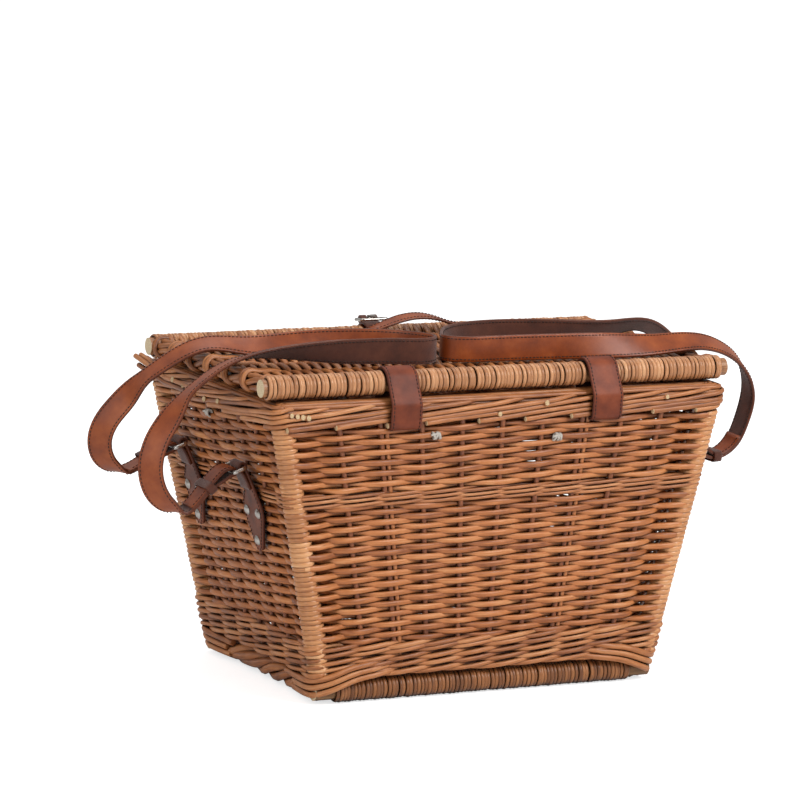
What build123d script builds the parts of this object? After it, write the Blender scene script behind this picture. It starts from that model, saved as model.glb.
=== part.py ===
"""A willow picnic basket with a hinged lid and two long leather carrying straps.

The frame is millimetres, +Z up, X along the basket, with the origin on the floor under its middle.
The lid turns at the long wall on the -Y side and is closed by a strap on the +Y side.
"""
import os
from math import cos, hypot, radians, sin

from build123d import *

os.makedirs("parts", exist_ok=True)

# Outer size of the walls at the rim and at the floor
rim_length = 460
rim_depth = 288
foot_length = 340
foot_depth = 252
rim_height = 276

# Levels of the woven bands, measured up from the floor, and the height of the rim's band
foot_wale_top = 54
middle_wale_bottom = 182
middle_wale_top = 195
rim_band = 22
seat_gap = 0.3

# Walls
weave_thickness = 10
ridge_pitch = 11
ridge_depth = 1.4
wale_thickness = 12
wale_stand = 1
rim_thickness = 20.5
rim_stand = 1.5
rim_round = 4

# Corner posts and upright stakes
post_radius = 6
column_radius = 11
stake_radius = 2.6
stake_clearance = 0.3
stake_foot = 28
stake_under_rim = 8
long_wall_stakes = 9
short_wall_stakes = 6

# Willow mats of the floor and of the lid
outer_stick_radius = 8
floor_binding_radius = 12
lid_binding_radius = 11.6
inner_stick_radius = 3.5
inner_stick_count = 5
mat_thickness = 11
mat_ridge_pitch = 14
floor_border_radius = 10.5
lid_border_radius = 8.5
floor_flat = 0.5
floor_stick_inset = 12
floor_stick_end = 20
floor_border_inset = 11
lid_length = 468
lid_stick_depth = 249
lid_stick_end = 5
lid_border_inset = 12
rod_clearance = 0.3

# Leather hinge loops
hinge_width = 31
hinge_leather = 2.8
hinge_slack = 0.5
hinge_bulge = 1.4
hinge_slot_gap = 1.2
hinge_after_stake = 6

# Straps, rings and the leather tabs that carry them
strap_width = 24
strap_thickness = 4
strap_lay = 19.6
tab_after_stake = 4
tab_foot_level = 134
tab_length = 82
tab_leather = 3.5
tab_wide = 36
tab_narrow = 19
tab_tip_radius = 10
tab_wide_from = 34
tab_wide_to = 44
tab_bend_after = 14
tab_eye_stand = 9
ring_wire = 1.8
ring_reach = 11
ring_fit = 0.06
ring_bend = 2.5
ring_droop = 20
eye_leather = 3
ring_inner_width = 27
keeper_leather = 1.8
keeper_slack = 0.9
keeper_length = 8
keeper_place = 13
rivet_head_radius = 4.8
rivet_head_height = 2.2
rivet_shank_radius = 1.5
washer_radius = 6
washer_thickness = 1
rivet_side_offset = 11.5
rivet_upper_station = 37
rivet_lower_station = 10

# Closing strap with its buckle, and the loop that receives it
closing_place = -6
closing_width = 18
closing_leather = 2.5
buckle_wire = 1.5
buckle_length = 15
buckle_turn = 65
buckle_rise = 1.8
buckle_bend = 2
buckle_spare = 2.5
prong_wire = 1.1
prong_fit = 0.06
catch_under_rim = 44
catch_length = 62
catch_width = 16
catch_eye_length = 22
catch_eye = 4.5
catch_rivet_offset = 24.5
prong_eye_wall = 1
prong_over = 2
prong_width = 3.3

# Loose end of the closing strap over the lid: along it, above the lid's axis, roll
tail_stations = [(-8, 8.6, 0), (6, 11.6, 4), (22, 19.6, 8), (42, 21.6, 8), (60, 18.1, 4), (76, 13.1, 0),
                 (92, 10.6, 0)]

# Paper ties left in the weave: place along the wall, distance under the rim's band
tie_width = 10
tie_height = 7
tie_thickness = 1.2
front_ties = [(-68, 10), (55, 17)]
left_ties = [(11, 7)]

# Values that follow from the sizes above
rim_bottom = rim_height - rim_band
stake_head = rim_height - stake_under_rim
catch_level = rim_height - catch_under_rim
long_lean = (rim_depth - foot_depth) / 2 / rim_height
short_lean = (rim_length - foot_length) / 2 / rim_height
floor_axis_level = floor_binding_radius - floor_flat
wale_bottom = floor_axis_level + floor_binding_radius + seat_gap
floor_stick_y = foot_depth / 2 - floor_stick_inset
lid_axis_level = rim_height + seat_gap + closing_leather + hinge_slack + lid_binding_radius
lid_stick_y = lid_stick_depth / 2
binding_inner = outer_stick_radius + rod_clearance
leather_stand = wale_stand + seat_gap


def half_length(level):
    return foot_length / 2 + short_lean * level


def half_depth(level):
    return foot_depth / 2 + long_lean * level


def rod(start, end, radius):
    """A round rod from one point to another."""
    run = Vector(*end) - Vector(*start)
    return Solid.make_cylinder(radius, run.length, Plane(origin=start, z_dir=run.normalized()))


def tube(start, end, outer, inner):
    """A sleeve between two points, open at both ends."""
    along = (Vector(*end) - Vector(*start)).normalized()
    bore_start = Vector(*start) - along
    bore_end = Vector(*end) + along
    return rod(start, end, outer) - rod(tuple(bore_start), tuple(bore_end), inner)


def turned(shape):
    """The same piece on the opposite side of the basket."""
    return shape.rotate(Axis.Z, 180)


def opposite(shape):
    """The same piece mirrored to the other end of the basket."""
    return shape.mirror(Plane.YZ)


def save(name, *solids):
    """Write one sub-part, made of one or more separate solids."""
    pieces = [piece for solid in solids for piece in solid.solids()]
    shape = pieces[0] if len(pieces) == 1 else Compound(children=pieces)
    shape.label = name
    export_step(shape, f"parts/{name}.step")


def frustum(low, high, outset, corner):
    """The space inside the leaning walls between two levels, grown or shrunk by outset."""
    sections = []
    for level in (low, high):
        x_size = 2 * (half_length(level) + outset)
        y_size = 2 * (half_depth(level) + outset)
        sketch = RectangleRounded(x_size, y_size, corner) if corner else Rectangle(x_size, y_size)
        sections.append(Plane.XY.offset(level) * sketch)
    return loft(sections, ruled=True)


def post_point(level):
    """Centre of the front left corner post at one level."""
    return (-half_length(level) + column_radius, -half_depth(level) + column_radius, level)


def long_stakes(radius, low, high):
    """Stakes of the front wall: they fan out with the wall."""
    stakes = []
    for index in range(long_wall_stakes):
        share = (index + 1) / (long_wall_stakes + 1) * 2 - 1
        ends = []
        for level in (low, high):
            free = half_length(level) - 2 * column_radius
            ends.append((share * free, -half_depth(level) + weave_thickness / 2, level))
        stakes.append(rod(*ends, radius))
    return stakes


def short_stakes(radius, low, high):
    """Stakes of the left wall."""
    stakes = []
    for index in range(short_wall_stakes):
        share = (index + 1) / (short_wall_stakes + 1) * 2 - 1
        ends = []
        for level in (low, high):
            free = half_depth(level) - 2 * column_radius
            ends.append((-half_length(level) + weave_thickness / 2, share * free, level))
        stakes.append(rod(*ends, radius))
    return stakes


def between_stakes(first, count, free):
    """Place halfway between one stake and the next along a wall's free length."""
    return ((first + 1.5) / (count + 1) * 2 - 1) * free


def corner_rods(radius, low, high):
    """The same rod at all four corners."""
    one = rod(post_point(low), post_point(high), radius)
    left = [one, one.mirror(Plane.XZ)]
    return left + [opposite(piece) for piece in left]


def upright_bores():
    """Bores for every post and stake."""
    front = long_stakes(stake_radius + stake_clearance, stake_foot - 1, stake_head + 1)
    left = short_stakes(stake_radius + stake_clearance, stake_foot - 1, stake_head + 1)
    posts = corner_rods(post_radius + stake_clearance, wale_bottom - 1, stake_head + 1)
    return front + left + [turned(piece) for piece in front + left] + posts


def ridged_outline(start, along, inward, length, thickness, pitch, depth):
    """A slab section whose two long sides are a row of shallow arcs."""
    count = round(length / pitch)
    step = length / count
    edges = []
    for index in range(count):
        near, middle, far = (start + along * step * (index + part) for part in (0, 0.5, 1))
        edges.append(ThreePointArc(near + inward * depth, middle, far + inward * depth))
    back = inward * thickness
    for index in reversed(range(count)):
        near, middle, far = (start + along * step * (index + part) + back for part in (1, 0.5, 0))
        edges.append(ThreePointArc(near - inward * depth, middle, far - inward * depth))
    first = start + inward * depth
    last = start + along * length + inward * depth
    edges.append(Line(first, start + back - inward * depth))
    edges.append(Line(last, start + along * length + back - inward * depth))
    return make_face(Wire(edges))


def wall_section(lean, reach_at_floor, thrown, low, high):
    """The ridged section of one leaning wall; thrown is the wall's outward direction."""
    outward = Vector(*thrown)
    start = outward * (reach_at_floor + lean * low) + Vector(0, 0, low)
    along = (outward * lean + Vector(0, 0, 1)).normalized()
    inward = (Vector(0, 0, 1) * lean - outward).normalized()
    length = (high - low) * hypot(1, lean)
    return ridged_outline(start, along, inward, length, weave_thickness, ridge_pitch, ridge_depth)


def front_weave(low, high):
    """Front wall weaving between two levels, from column to column."""
    section = wall_section(long_lean, foot_depth / 2, (0, -1, 0), low, high)
    slab = extrude(section, half_length(high), dir=(1, 0, 0), both=True)
    inset = -2 * column_radius - seat_gap
    between = loft([Plane.XY.offset(level) * Rectangle(2 * (half_length(level) + inset), 2 * rim_depth)
                    for level in (low + seat_gap, high - seat_gap)], ruled=True)
    return slab & between


def left_weave(low, high):
    """Left wall weaving between two levels."""
    section = wall_section(short_lean, foot_length / 2, (-1, 0, 0), low, high)
    slab = extrude(section, half_depth(high), dir=(0, 1, 0), both=True)
    inset = -2 * column_radius - seat_gap
    between = loft([Plane.XY.offset(level) * Rectangle(2 * rim_length, 2 * (half_depth(level) + inset))
                    for level in (low + seat_gap, high - seat_gap)], ruled=True)
    return slab & between


def cut_all(shape, cutters):
    """Take a list of cutters out of a shape."""
    return shape - cutters if cutters else shape


def band(low, high, stand, thickness):
    """A woven band round the basket, closed round the four corner columns."""
    outer = frustum(low, high, stand, column_radius + stand)
    inner = frustum(low, high, -thickness, 0)
    return outer - inner


def woven_mat(axis_level, stick_y, length, binding, bare_end, border_x, border_radius, flat):
    """A flat willow mat: two outer sticks, inner sticks, weaving, bindings and end borders."""
    near, far = (-stick_y, stick_y)
    below = Pos(0, 0, -rim_height) * Box(2 * length, 4 * stick_y, 2 * rim_height)
    stick = {y: rod((-length / 2, y, axis_level), (length / 2, y, axis_level), outer_stick_radius)
             for y in (near, far)}
    binding_x = length / 2 - bare_end
    sleeve = {y: tube((-binding_x, y, axis_level), (binding_x, y, axis_level), binding, binding_inner)
              for y in (near, far)}
    if flat:
        sleeve = {y: piece - below for y, piece in sleeve.items()}
    reach = stick_y - binding - seat_gap
    spacing = 2 * stick_y / (inner_stick_count + 1)
    middle = (inner_stick_count - 1) / 2
    places = [(index - middle) * spacing for index in range(inner_stick_count)]
    half = border_x + border_radius / 2
    inner = [rod((-half, y, axis_level), (half, y, axis_level), inner_stick_radius) for y in places]
    bores = [rod((-half - 1, y, axis_level), (half + 1, y, axis_level), inner_stick_radius + rod_clearance)
             for y in places]
    border = rod((-border_x, -reach, axis_level), (-border_x, reach, axis_level), border_radius)
    border = cut_all(border, bores)
    weave_half = border_x - border_radius - seat_gap
    section = ridged_outline(Vector(-weave_half, -reach, axis_level + mat_thickness / 2), Vector(1, 0, 0),
                             Vector(0, 0, -1), 2 * weave_half, mat_thickness, mat_ridge_pitch, ridge_depth)
    weave = cut_all(extrude(section, 2 * reach, dir=(0, 1, 0)), bores)
    return {"front_stick": stick[near], "back_stick": stick[far], "front_binding": sleeve[near],
            "back_binding": sleeve[far], "inner": inner, "left_border": border,
            "right_border": opposite(border), "weave": weave}


def strap_path(stations):
    """The middle line of a strap through hand-set stations."""
    return Edge.make_spline([Vector(*station[:3]) for station in stations])


def strap_plane(path, share, roll):
    """A plane square to a strap at one share of its length, with local X across the strap."""
    ahead = path.tangent_at(share)
    across_way = Vector(0, cos(radians(roll)), sin(radians(roll)))
    across_way = (across_way - ahead * across_way.dot(ahead)).normalized()
    return Plane(path.position_at(share), x_dir=across_way, z_dir=ahead)


def ribbon(stations, width, thickness):
    """A flat strap through stations: x, y, z and the roll of its face in degrees.

    Roll 0 and -180 lay the width level along Y, and -90 stands the strap on its edge.
    """
    path = strap_path(stations)
    marks = [path.param_at_point(Vector(*station[:3])) for station in stations]
    sections = []
    for index in range(len(stations) - 1):
        for part in (0, 0.5):
            share = marks[index] + (marks[index + 1] - marks[index]) * part
            roll = stations[index][3] + (stations[index + 1][3] - stations[index][3]) * part
            sections.append((share, roll))
    sections.append((1, stations[-1][3]))
    outline = Rectangle(width, thickness)
    wires = [(strap_plane(path, share, roll) * outline).face().outer_wire() for share, roll in sections]
    return Solid.make_loft(wires, ruled=True)


side_plane = Plane(origin=(0, 0, 0), x_dir=(0, 1, 0), z_dir=(1, 0, 0))


def across(outline, width, place):
    """A side outline, drawn with Y and Z as its two directions, made into a width along X."""
    return Pos(place, 0, 0) * extrude(side_plane * outline, width / 2, both=True)


def leather_loop(inner_face, width, leather, place):
    """A leather band of one thickness round an inner side outline."""
    return across(offset(inner_face, leather) - inner_face, width, place)


def rim_outline(side, slack, bulge):
    """The rim band's side outline, grown by the slack and bulging outwards."""
    corners = []
    for level, grow in ((rim_bottom, -slack), (rim_height, slack)):
        outer = half_depth(level) + rim_stand + slack + bulge
        inner = half_depth(level) - rim_thickness - slack
        row = [(side * inner, level + grow), (side * outer, level + grow)]
        corners += row if grow < 0 else row[::-1]
    return make_face(Polyline(*corners, close=True))


def hinge_inner(side, slack, bulge):
    """Inside outline of a loop that goes round the lid stick and the rim together."""
    circle = Pos(side * lid_stick_y, lid_axis_level) * Circle(lid_binding_radius + slack)
    rim = rim_outline(side, slack, bulge)
    return make_hull(circle.edges() + rim.edges())


def wall_place(level, along_wall, stand):
    """A point off the left wall's outside, stand millimetres out from it."""
    outward = Vector(-1, 0, -short_lean).normalized()
    return Vector(-half_length(level), along_wall, level) + outward * stand


def tab_plane(along_wall):
    """A plane flat on the left wall at a tab's tip: local Y runs up the wall."""
    outward = Vector(-1, 0, -short_lean)
    return Plane(origin=wall_place(tab_foot_level, along_wall, leather_stand), x_dir=(0, -1, 0),
                 z_dir=outward)


def tab_point(along_wall, station, stand):
    """A point over a tab: its distance up from the tip and out from the wall."""
    return tab_plane(along_wall).from_local_coords(Vector(0, station, stand))


def strap_tab(along_wall):
    """A kite-shaped leather tab with its top folded into an eye for the ring."""
    eye_inner = ring_wire + ring_fit
    eye_outer = eye_inner + eye_leather
    half_wide = tab_wide / 2
    half_narrow = tab_narrow / 2
    bend = tab_wide_to + tab_bend_after
    points = [(-tab_tip_radius, tab_tip_radius), (-half_wide, tab_wide_from), (-half_wide, tab_wide_to),
              (-half_narrow, bend), (-half_narrow, tab_length), (half_narrow, tab_length),
              (half_narrow, bend), (half_wide, tab_wide_to), (half_wide, tab_wide_from),
              (tab_tip_radius, tab_tip_radius)]
    sketch = make_face(Polyline(*points, close=True)) + Pos(0, tab_tip_radius) * Circle(tab_tip_radius)
    flat = extrude(sketch, tab_leather)
    lean = make_face(Polyline((bend, 0), (tab_length, tab_eye_stand - eye_outer),
                              (tab_length, tab_eye_stand + eye_outer), (bend, tab_leather), close=True))
    lean = extrude(side_plane * lean, half_narrow, both=True)
    keep = Pos(0, bend / 2, 0) * Box(2 * tab_wide, bend, 4 * tab_eye_stand)
    eye = Pos(0, tab_length, tab_eye_stand) * Rot(0, 90, 0) * Cylinder(eye_outer, tab_narrow)
    bore = Pos(0, tab_length, tab_eye_stand) * Rot(0, 90, 0) * Cylinder(eye_inner, 2 * tab_narrow)
    shape = (flat & keep) + lean + eye - bore - rivet_bores()
    return tab_plane(along_wall) * shape


def rivet_places():
    """Three rivets in tab coordinates: two side by side and one at the tip."""
    upper = [(side * rivet_side_offset, rivet_upper_station) for side in (-1, 1)]
    return upper + [(0, rivet_lower_station)]


def rivet_bores():
    """Bores through a tab and the weaving behind it, in tab coordinates."""
    bore = Cylinder(rivet_shank_radius + ring_fit, 4 * weave_thickness)
    return [Pos(x, y, 0) * bore for x, y in rivet_places()]


def rivet(leather, stand):
    """One domed rivet on leather that stands off the wall, in coordinates flat on that leather."""
    back = -(stand + weave_thickness + seat_gap + washer_thickness + seat_gap)
    dome_radius = (rivet_head_radius ** 2 + rivet_head_height ** 2) / (2 * rivet_head_height)
    dome = Pos(0, 0, leather + rivet_head_height - dome_radius) * Sphere(dome_radius)
    above = Pos(0, 0, leather + seat_gap / 3 + dome_radius) * Box(*[2 * dome_radius] * 3)
    length = leather + rivet_head_height / 2 - back
    shank = Pos(0, 0, back + length / 2) * Cylinder(rivet_shank_radius, length)
    return (dome & above) + shank


def washer(stand):
    """One flat washer that backs a rivet inside the basket."""
    level = -(stand + weave_thickness + seat_gap + washer_thickness / 2)
    return Pos(0, 0, level) * (Cylinder(washer_radius, washer_thickness)
                               - Cylinder(rivet_shank_radius + ring_fit, 3 * washer_thickness))


def wire_loop(corners, bend, wire):
    """A closed loop of round wire with rounded corners."""
    path = FilletPolyline(*corners, radius=bend, close=True)
    return sweep(Plane(origin=path @ 0, z_dir=path % 0) * Circle(wire), path)


def strap_ring(along_wall, way_out):
    """A wire ring: one bar in the tab's eye, the other in the strap's eye."""
    near = tab_point(along_wall, tab_length, tab_eye_stand)
    far = near + way_out * ring_reach
    half = Vector(0, ring_inner_width / 2 + ring_wire, 0)
    return wire_loop([near - half, near + half, far + half, far - half], ring_bend, ring_wire)


tab_y = between_stakes(tab_after_stake, short_wall_stakes,
                       half_depth(tab_foot_level + rivet_upper_station) - 2 * column_radius)
ring_way = Vector(-cos(radians(ring_droop)), 0, -sin(radians(ring_droop)))
ring_axis = tab_point(0, tab_length, tab_eye_stand)
strap_eye = ring_axis + ring_way * ring_reach
strap_start = strap_eye + ring_way * (ring_wire + eye_leather)
start_x = strap_start.X
start_z = strap_start.Z


def raised(level, *stations):
    """Stations whose heights are measured from one level."""
    return [(x, y, level + height, roll) for x, y, height, roll in stations]


# Stations of the two straps, from the front ring over the lid to the back ring: x, y, height and roll.
# The bows beside the basket are measured from the tabs, the rest from the lid's axis.
left_stations = [
    (start_x, -tab_y, start_z, 0),
    *raised(tab_foot_level, (-257, -tab_y, 60, 0), (-280, -tab_y, 40, 0), (-303, -65, 47, 0),
            (-317, -63, 79, 0)),
    *raised(lid_axis_level, (-307, -61, -46.9, -4), (-286, -59, -22.9, -8), (-254, -57, 2.1, -8),
            (-228, -56, 14.6, -10), (-200, -56, 19.1, -24), (-165, -59, 20.1, -45),
            (-125, -66, strap_lay, -75), (-80, -75, strap_lay, -90), (-46, -80, strap_lay, -90),
            (-36, -69, strap_lay, -90), (-41, -48, strap_lay, -90), (-62, -26, strap_lay, -95),
            (-100, -9, 19.1, -105), (-145, 3, 17.1, -125), (-190, 12, 16.1, -145),
            (-225, 18, 17.6, -160), (-262, 32, -2.9, -168), (-296, 46, -33.9, -174)),
    *raised(tab_foot_level, (-316, 55, 88, -178), (-308, 61, 64, -180), (-284, 65, 53, -180),
            (-260, tab_y, 62, -180)),
    (start_x, tab_y, start_z, -180)]
right_stations = [
    (-start_x, -tab_y, start_z, -180),
    *raised(tab_foot_level, (256, -tab_y, 63, -180), (276, -tab_y, 70, -178), (290, -66, 94, -170)),
    *raised(lid_axis_level, (296, -66, -34.9, -160), (287, -69, -10.9, -150), (264, -75, 7.1, -150),
            (228, -84, 17.6, -148), (183, -90, 17.6, -138), (140, -92, 18.6, -115),
            (85, -90, strap_lay, -92), (10, -85, strap_lay, -90), (-18, -80, strap_lay, -90),
            (-26, -70, strap_lay, -90), (-21, -52, strap_lay, -90), (-4, -24, strap_lay, -90),
            (24, -3, strap_lay, -88), (70, 5, strap_lay, -85), (130, 2, 18.6, -70), (185, 8, 17.6, -50),
            (228, 20, 17.6, -32), (268, 38, -2.9, -20), (300, 51, -30.9, -10)),
    *raised(tab_foot_level, (317, 59, 94, -4), (309, 63, 69, 0), (285, 65, 57, 0), (260, tab_y, 64, 0)),
    (-start_x, tab_y, start_z, 0)]


def strap_eyes(side):
    """Folds of a strap round the outer bars of its two rings."""
    eyes = []
    for y in (-tab_y, tab_y):
        centre = (side * abs(strap_eye.X), strap_eye.Z)
        ends = [(centre[0], y + half * strap_width, centre[1]) for half in (-0.5, 0.5)]
        eyes.append(tube(*ends, ring_wire + ring_fit + eye_leather, ring_wire + ring_fit))
    return eyes


def handle_strap(stations, side):
    """One long strap, from ring to ring, with its folded ends."""
    strap = ribbon(stations, strap_width, strap_thickness)
    bores = [rod((side * abs(strap_eye.X), y - strap_width, strap_eye.Z),
                 (side * abs(strap_eye.X), y + strap_width, strap_eye.Z), ring_wire + ring_fit)
             for y in (-tab_y, tab_y)]
    for eye in strap_eyes(side):
        strap += eye
    return strap - bores


def keepers(stations):
    """Stitched leather keepers that hold the folded ends of a strap."""
    path = strap_path(stations)
    inner = Rectangle(strap_width + 2 * keeper_slack, strap_thickness + 2 * keeper_slack)
    around = 2 * (keeper_slack + keeper_leather)
    outer = Rectangle(strap_width + around, strap_thickness + around)
    share = keeper_place / path.length
    ends = ((share, stations[0][3]), (1 - share, stations[-1][3]))
    return [strap_plane(path, place, roll) * extrude(outer - inner, keeper_length / 2, both=True)
            for place, roll in ends]


# Walls of the basket
bores = upright_bores()
wales = {
    "foot_wale": band(wale_bottom, foot_wale_top, wale_stand, wale_thickness),
    "middle_wale": band(middle_wale_bottom, middle_wale_top, wale_stand, wale_thickness),
    "rim_border": band(rim_bottom, rim_height, rim_stand, rim_thickness),
}
column_levels = {
    "foot_wale": (wale_bottom, foot_wale_top),
    "middle_wale": (middle_wale_bottom, middle_wale_top),
}
for name, (low, high) in column_levels.items():
    slab = Pos(0, 0, (low + high) / 2) * Box(2 * rim_length, 2 * rim_depth, high - low)
    for column in corner_rods(column_radius, low - rim_height, high + rim_height):
        wales[name] += column & slab
rim_edges = wales["rim_border"].faces().sort_by(Axis.Z)[-1].outer_wire().edges()
wales["rim_border"] = fillet(rim_edges, rim_round)
for name, wale in wales.items():
    save(name, cut_all(wale, bores))

columns = []
for low, high in ((foot_wale_top, middle_wale_bottom), (middle_wale_top, rim_bottom)):
    slab = Pos(0, 0, (low + high) / 2) * Box(2 * rim_length, 2 * rim_depth, high - low - 2 * seat_gap)
    sleeves = corner_rods(column_radius - seat_gap, low - column_radius, high + column_radius)
    cores = corner_rods(post_radius + stake_clearance, low - rim_height, high + rim_height)
    columns += [(sleeve & slab) - core for sleeve, core in zip(sleeves, cores)]
save("corner_windings", *columns)

post_names = ("front_left", "back_left", "front_right", "back_right")
for name, post in zip(post_names, corner_rods(post_radius, wale_bottom, stake_head)):
    save(f"corner_post_{name}", post)
front_stakes = long_stakes(stake_radius, stake_foot, stake_head)
left_stakes = short_stakes(stake_radius, stake_foot, stake_head)
save("stakes_front", *front_stakes)
save("stakes_back", *[turned(stake) for stake in front_stakes])
save("stakes_left", *left_stakes)
save("stakes_right", *[turned(stake) for stake in left_stakes])

# Hinge loops round the lid's front stick and the rim
hinge_x = between_stakes(hinge_after_stake, long_wall_stakes, half_length(rim_bottom) - 2 * column_radius)
hinge_places = (-hinge_x, hinge_x)
hinge_face = hinge_inner(-1, hinge_slack, hinge_bulge)
hinges = [leather_loop(hinge_face, hinge_width, hinge_leather, place) for place in hinge_places]
save("hinge_loop_left", hinges[0])
save("hinge_loop_right", hinges[1])
slot_face = offset(hinge_face, hinge_leather + hinge_slot_gap)
slots = [across(slot_face, hinge_width + 2 * hinge_slot_gap, place) for place in hinge_places]

# Riveted leather loop on the closing side that takes the strap's end
catch_plane = Plane(origin=(closing_place, half_depth(catch_level) + leather_stand, catch_level),
                    x_dir=(-1, 0, 0), z_dir=(0, 1, -long_lean))
eye_half = catch_eye_length / 2
catch_half = catch_length / 2
catch_outline = make_face(Polyline(
    (-catch_half, 0), (-eye_half, 0), (-eye_half, catch_eye), (eye_half, catch_eye), (eye_half, 0),
    (catch_half, 0), (catch_half, closing_leather), (eye_half + closing_leather, closing_leather),
    (eye_half + closing_leather, catch_eye + closing_leather),
    (-eye_half - closing_leather, catch_eye + closing_leather),
    (-eye_half - closing_leather, closing_leather), (-catch_half, closing_leather), close=True))
catch = Rot(90, 0, 0) * extrude(catch_outline, catch_width / 2, both=True)
catch_rivet_places = [Pos(side * catch_rivet_offset, 0, 0) for side in (-1, 1)]
catch_bore = Cylinder(rivet_shank_radius + ring_fit, 4 * weave_thickness)
catch_bores = [place * catch_bore for place in catch_rivet_places]
save("catch_loop", catch_plane * (catch - catch_bores))
save("catch_rivets", *[catch_plane * place * rivet(closing_leather, leather_stand)
                       for place in catch_rivet_places])

# Weaving of the four walls, bored for stakes and rivets
all_rivet_bores = [tab_plane(y) * bore for y in (-tab_y, tab_y) for bore in rivet_bores()]
sections = ((foot_wale_top, middle_wale_bottom), (middle_wale_top, rim_bottom))
front_bores = long_stakes(stake_radius + stake_clearance, stake_foot - 1, stake_head + 1)
left_bores = short_stakes(stake_radius + stake_clearance, stake_foot - 1, stake_head + 1) + all_rivet_bores
front_panels = [cut_all(front_weave(low, high), front_bores) for low, high in sections]
left_panels = [cut_all(left_weave(low, high), left_bores) for low, high in sections]
save("weave_front", *[cut_all(panel, slots) for panel in front_panels])
save("weave_back", *[cut_all(turned(panel), [catch_plane * bore for bore in catch_bores])
                     for panel in front_panels])
save("weave_left", *left_panels)
save("weave_right", *[opposite(panel) for panel in left_panels])

# Floor mat and lid mat
floor_mat = woven_mat(floor_axis_level, floor_stick_y, foot_length, floor_binding_radius, floor_stick_end,
                      foot_length / 2 - floor_border_inset, floor_border_radius, True)
lid_mat = woven_mat(lid_axis_level, lid_stick_y, lid_length, lid_binding_radius, lid_stick_end,
                    lid_length / 2 - lid_border_inset, lid_border_radius, False)
lid_slots = [Pos(place, -lid_stick_y, lid_axis_level) * Rot(0, 90, 0) * Cylinder(
    lid_binding_radius + hinge_slack + hinge_leather + hinge_slot_gap, hinge_width + 2 * hinge_slot_gap)
    for place in hinge_places]
closing_slot = Pos(closing_place, lid_stick_y, lid_axis_level) * Rot(0, 90, 0) * Cylinder(
    lid_binding_radius + hinge_slack + closing_leather + hinge_slot_gap, closing_width + 2 * hinge_slot_gap)
lid_mat["weave"] = cut_all(lid_mat["weave"], lid_slots + [closing_slot])
for prefix, mat in (("floor", floor_mat), ("lid", lid_mat)):
    save(f"{prefix}_stick_front", mat["front_stick"])
    save(f"{prefix}_stick_back", mat["back_stick"])
    save(f"{prefix}_binding_front", mat["front_binding"])
    save(f"{prefix}_binding_back", mat["back_binding"])
    save(f"{prefix}_sticks_inner", *mat["inner"])
    save(f"{prefix}_border_left", mat["left_border"])
    save(f"{prefix}_border_right", mat["right_border"])
    save(f"{prefix}_weave", mat["weave"])

# Strap tabs, rings, rivets and straps
tab_front = strap_tab(-tab_y)
tab_back = strap_tab(tab_y)
save("strap_tab_left_front", tab_front)
save("strap_tab_left_back", tab_back)
save("strap_tab_right_front", opposite(tab_front))
save("strap_tab_right_back", opposite(tab_back))
tab_seats = [tab_plane(side * tab_y) * Pos(x, y, 0) for side in (-1, 1) for x, y in rivet_places()]
left_rivets = [seat * rivet(tab_leather, leather_stand) for seat in tab_seats]
save("tab_rivets", *left_rivets, *[opposite(rivet) for rivet in left_rivets])
left_washers = [seat * washer(leather_stand) for seat in tab_seats]
catch_washers = [catch_plane * place * washer(leather_stand) for place in catch_rivet_places]
save("rivet_washers", *left_washers, *[opposite(piece) for piece in left_washers], *catch_washers)
left_rings = [strap_ring(y, ring_way) for y in (-tab_y, tab_y)]
save("strap_rings_left", *left_rings)
save("strap_rings_right", *[opposite(ring) for ring in left_rings])
save("handle_strap_left", handle_strap(left_stations, -1))
save("handle_strap_right", handle_strap(right_stations, 1))
save("strap_keepers_left", *keepers(left_stations))
save("strap_keepers_right", *keepers(right_stations))

# Closing strap: it turns on the lid's back stick, with the buckle on top
closing_inner = lid_binding_radius + hinge_slack
closing_outer = closing_inner + closing_leather
turn = radians(buckle_turn)
stick_centre = Vector(closing_place, lid_stick_y, lid_axis_level)
eye_radius = buckle_wire + prong_fit + closing_leather
eye_distance = closing_outer + eye_radius - closing_leather / 2
bar = stick_centre + Vector(0, cos(turn), sin(turn)) * eye_distance
half_closing = Vector(closing_width / 2, 0, 0)
strap_ring_part = rod(tuple(stick_centre - half_closing), tuple(stick_centre + half_closing), closing_outer)
eye = rod(tuple(bar - half_closing), tuple(bar + half_closing), eye_radius)
tail_y = lid_stick_y - closing_outer - closing_width / 2 + closing_leather
tail = ribbon([(closing_place + along, tail_y, lid_axis_level + over, roll)
               for along, over, roll in tail_stations], closing_width, closing_leather)
inside = rod(tuple(stick_centre - half_closing * 2), tuple(stick_centre + half_closing * 2), closing_inner)
bar_bore = rod(tuple(bar - half_closing * 2), tuple(bar + half_closing * 2), buckle_wire + prong_fit)
prong_slot = Pos(*bar) * Box(4 * prong_wire, 3 * eye_radius, 2 * eye_radius)
closing = strap_ring_part + tail + eye - inside - bar_bore
closing -= prong_slot - strap_ring_part
save("closing_strap", closing)

far_bar = bar + Vector(0, -buckle_length, buckle_rise)
buckle_half = Vector(closing_width / 2 + buckle_wire + buckle_spare, 0, 0)
buckle = wire_loop([bar - buckle_half, bar + buckle_half, far_bar + buckle_half, far_bar - buckle_half],
                   buckle_bend, buckle_wire)
save("buckle_frame", buckle)

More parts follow.
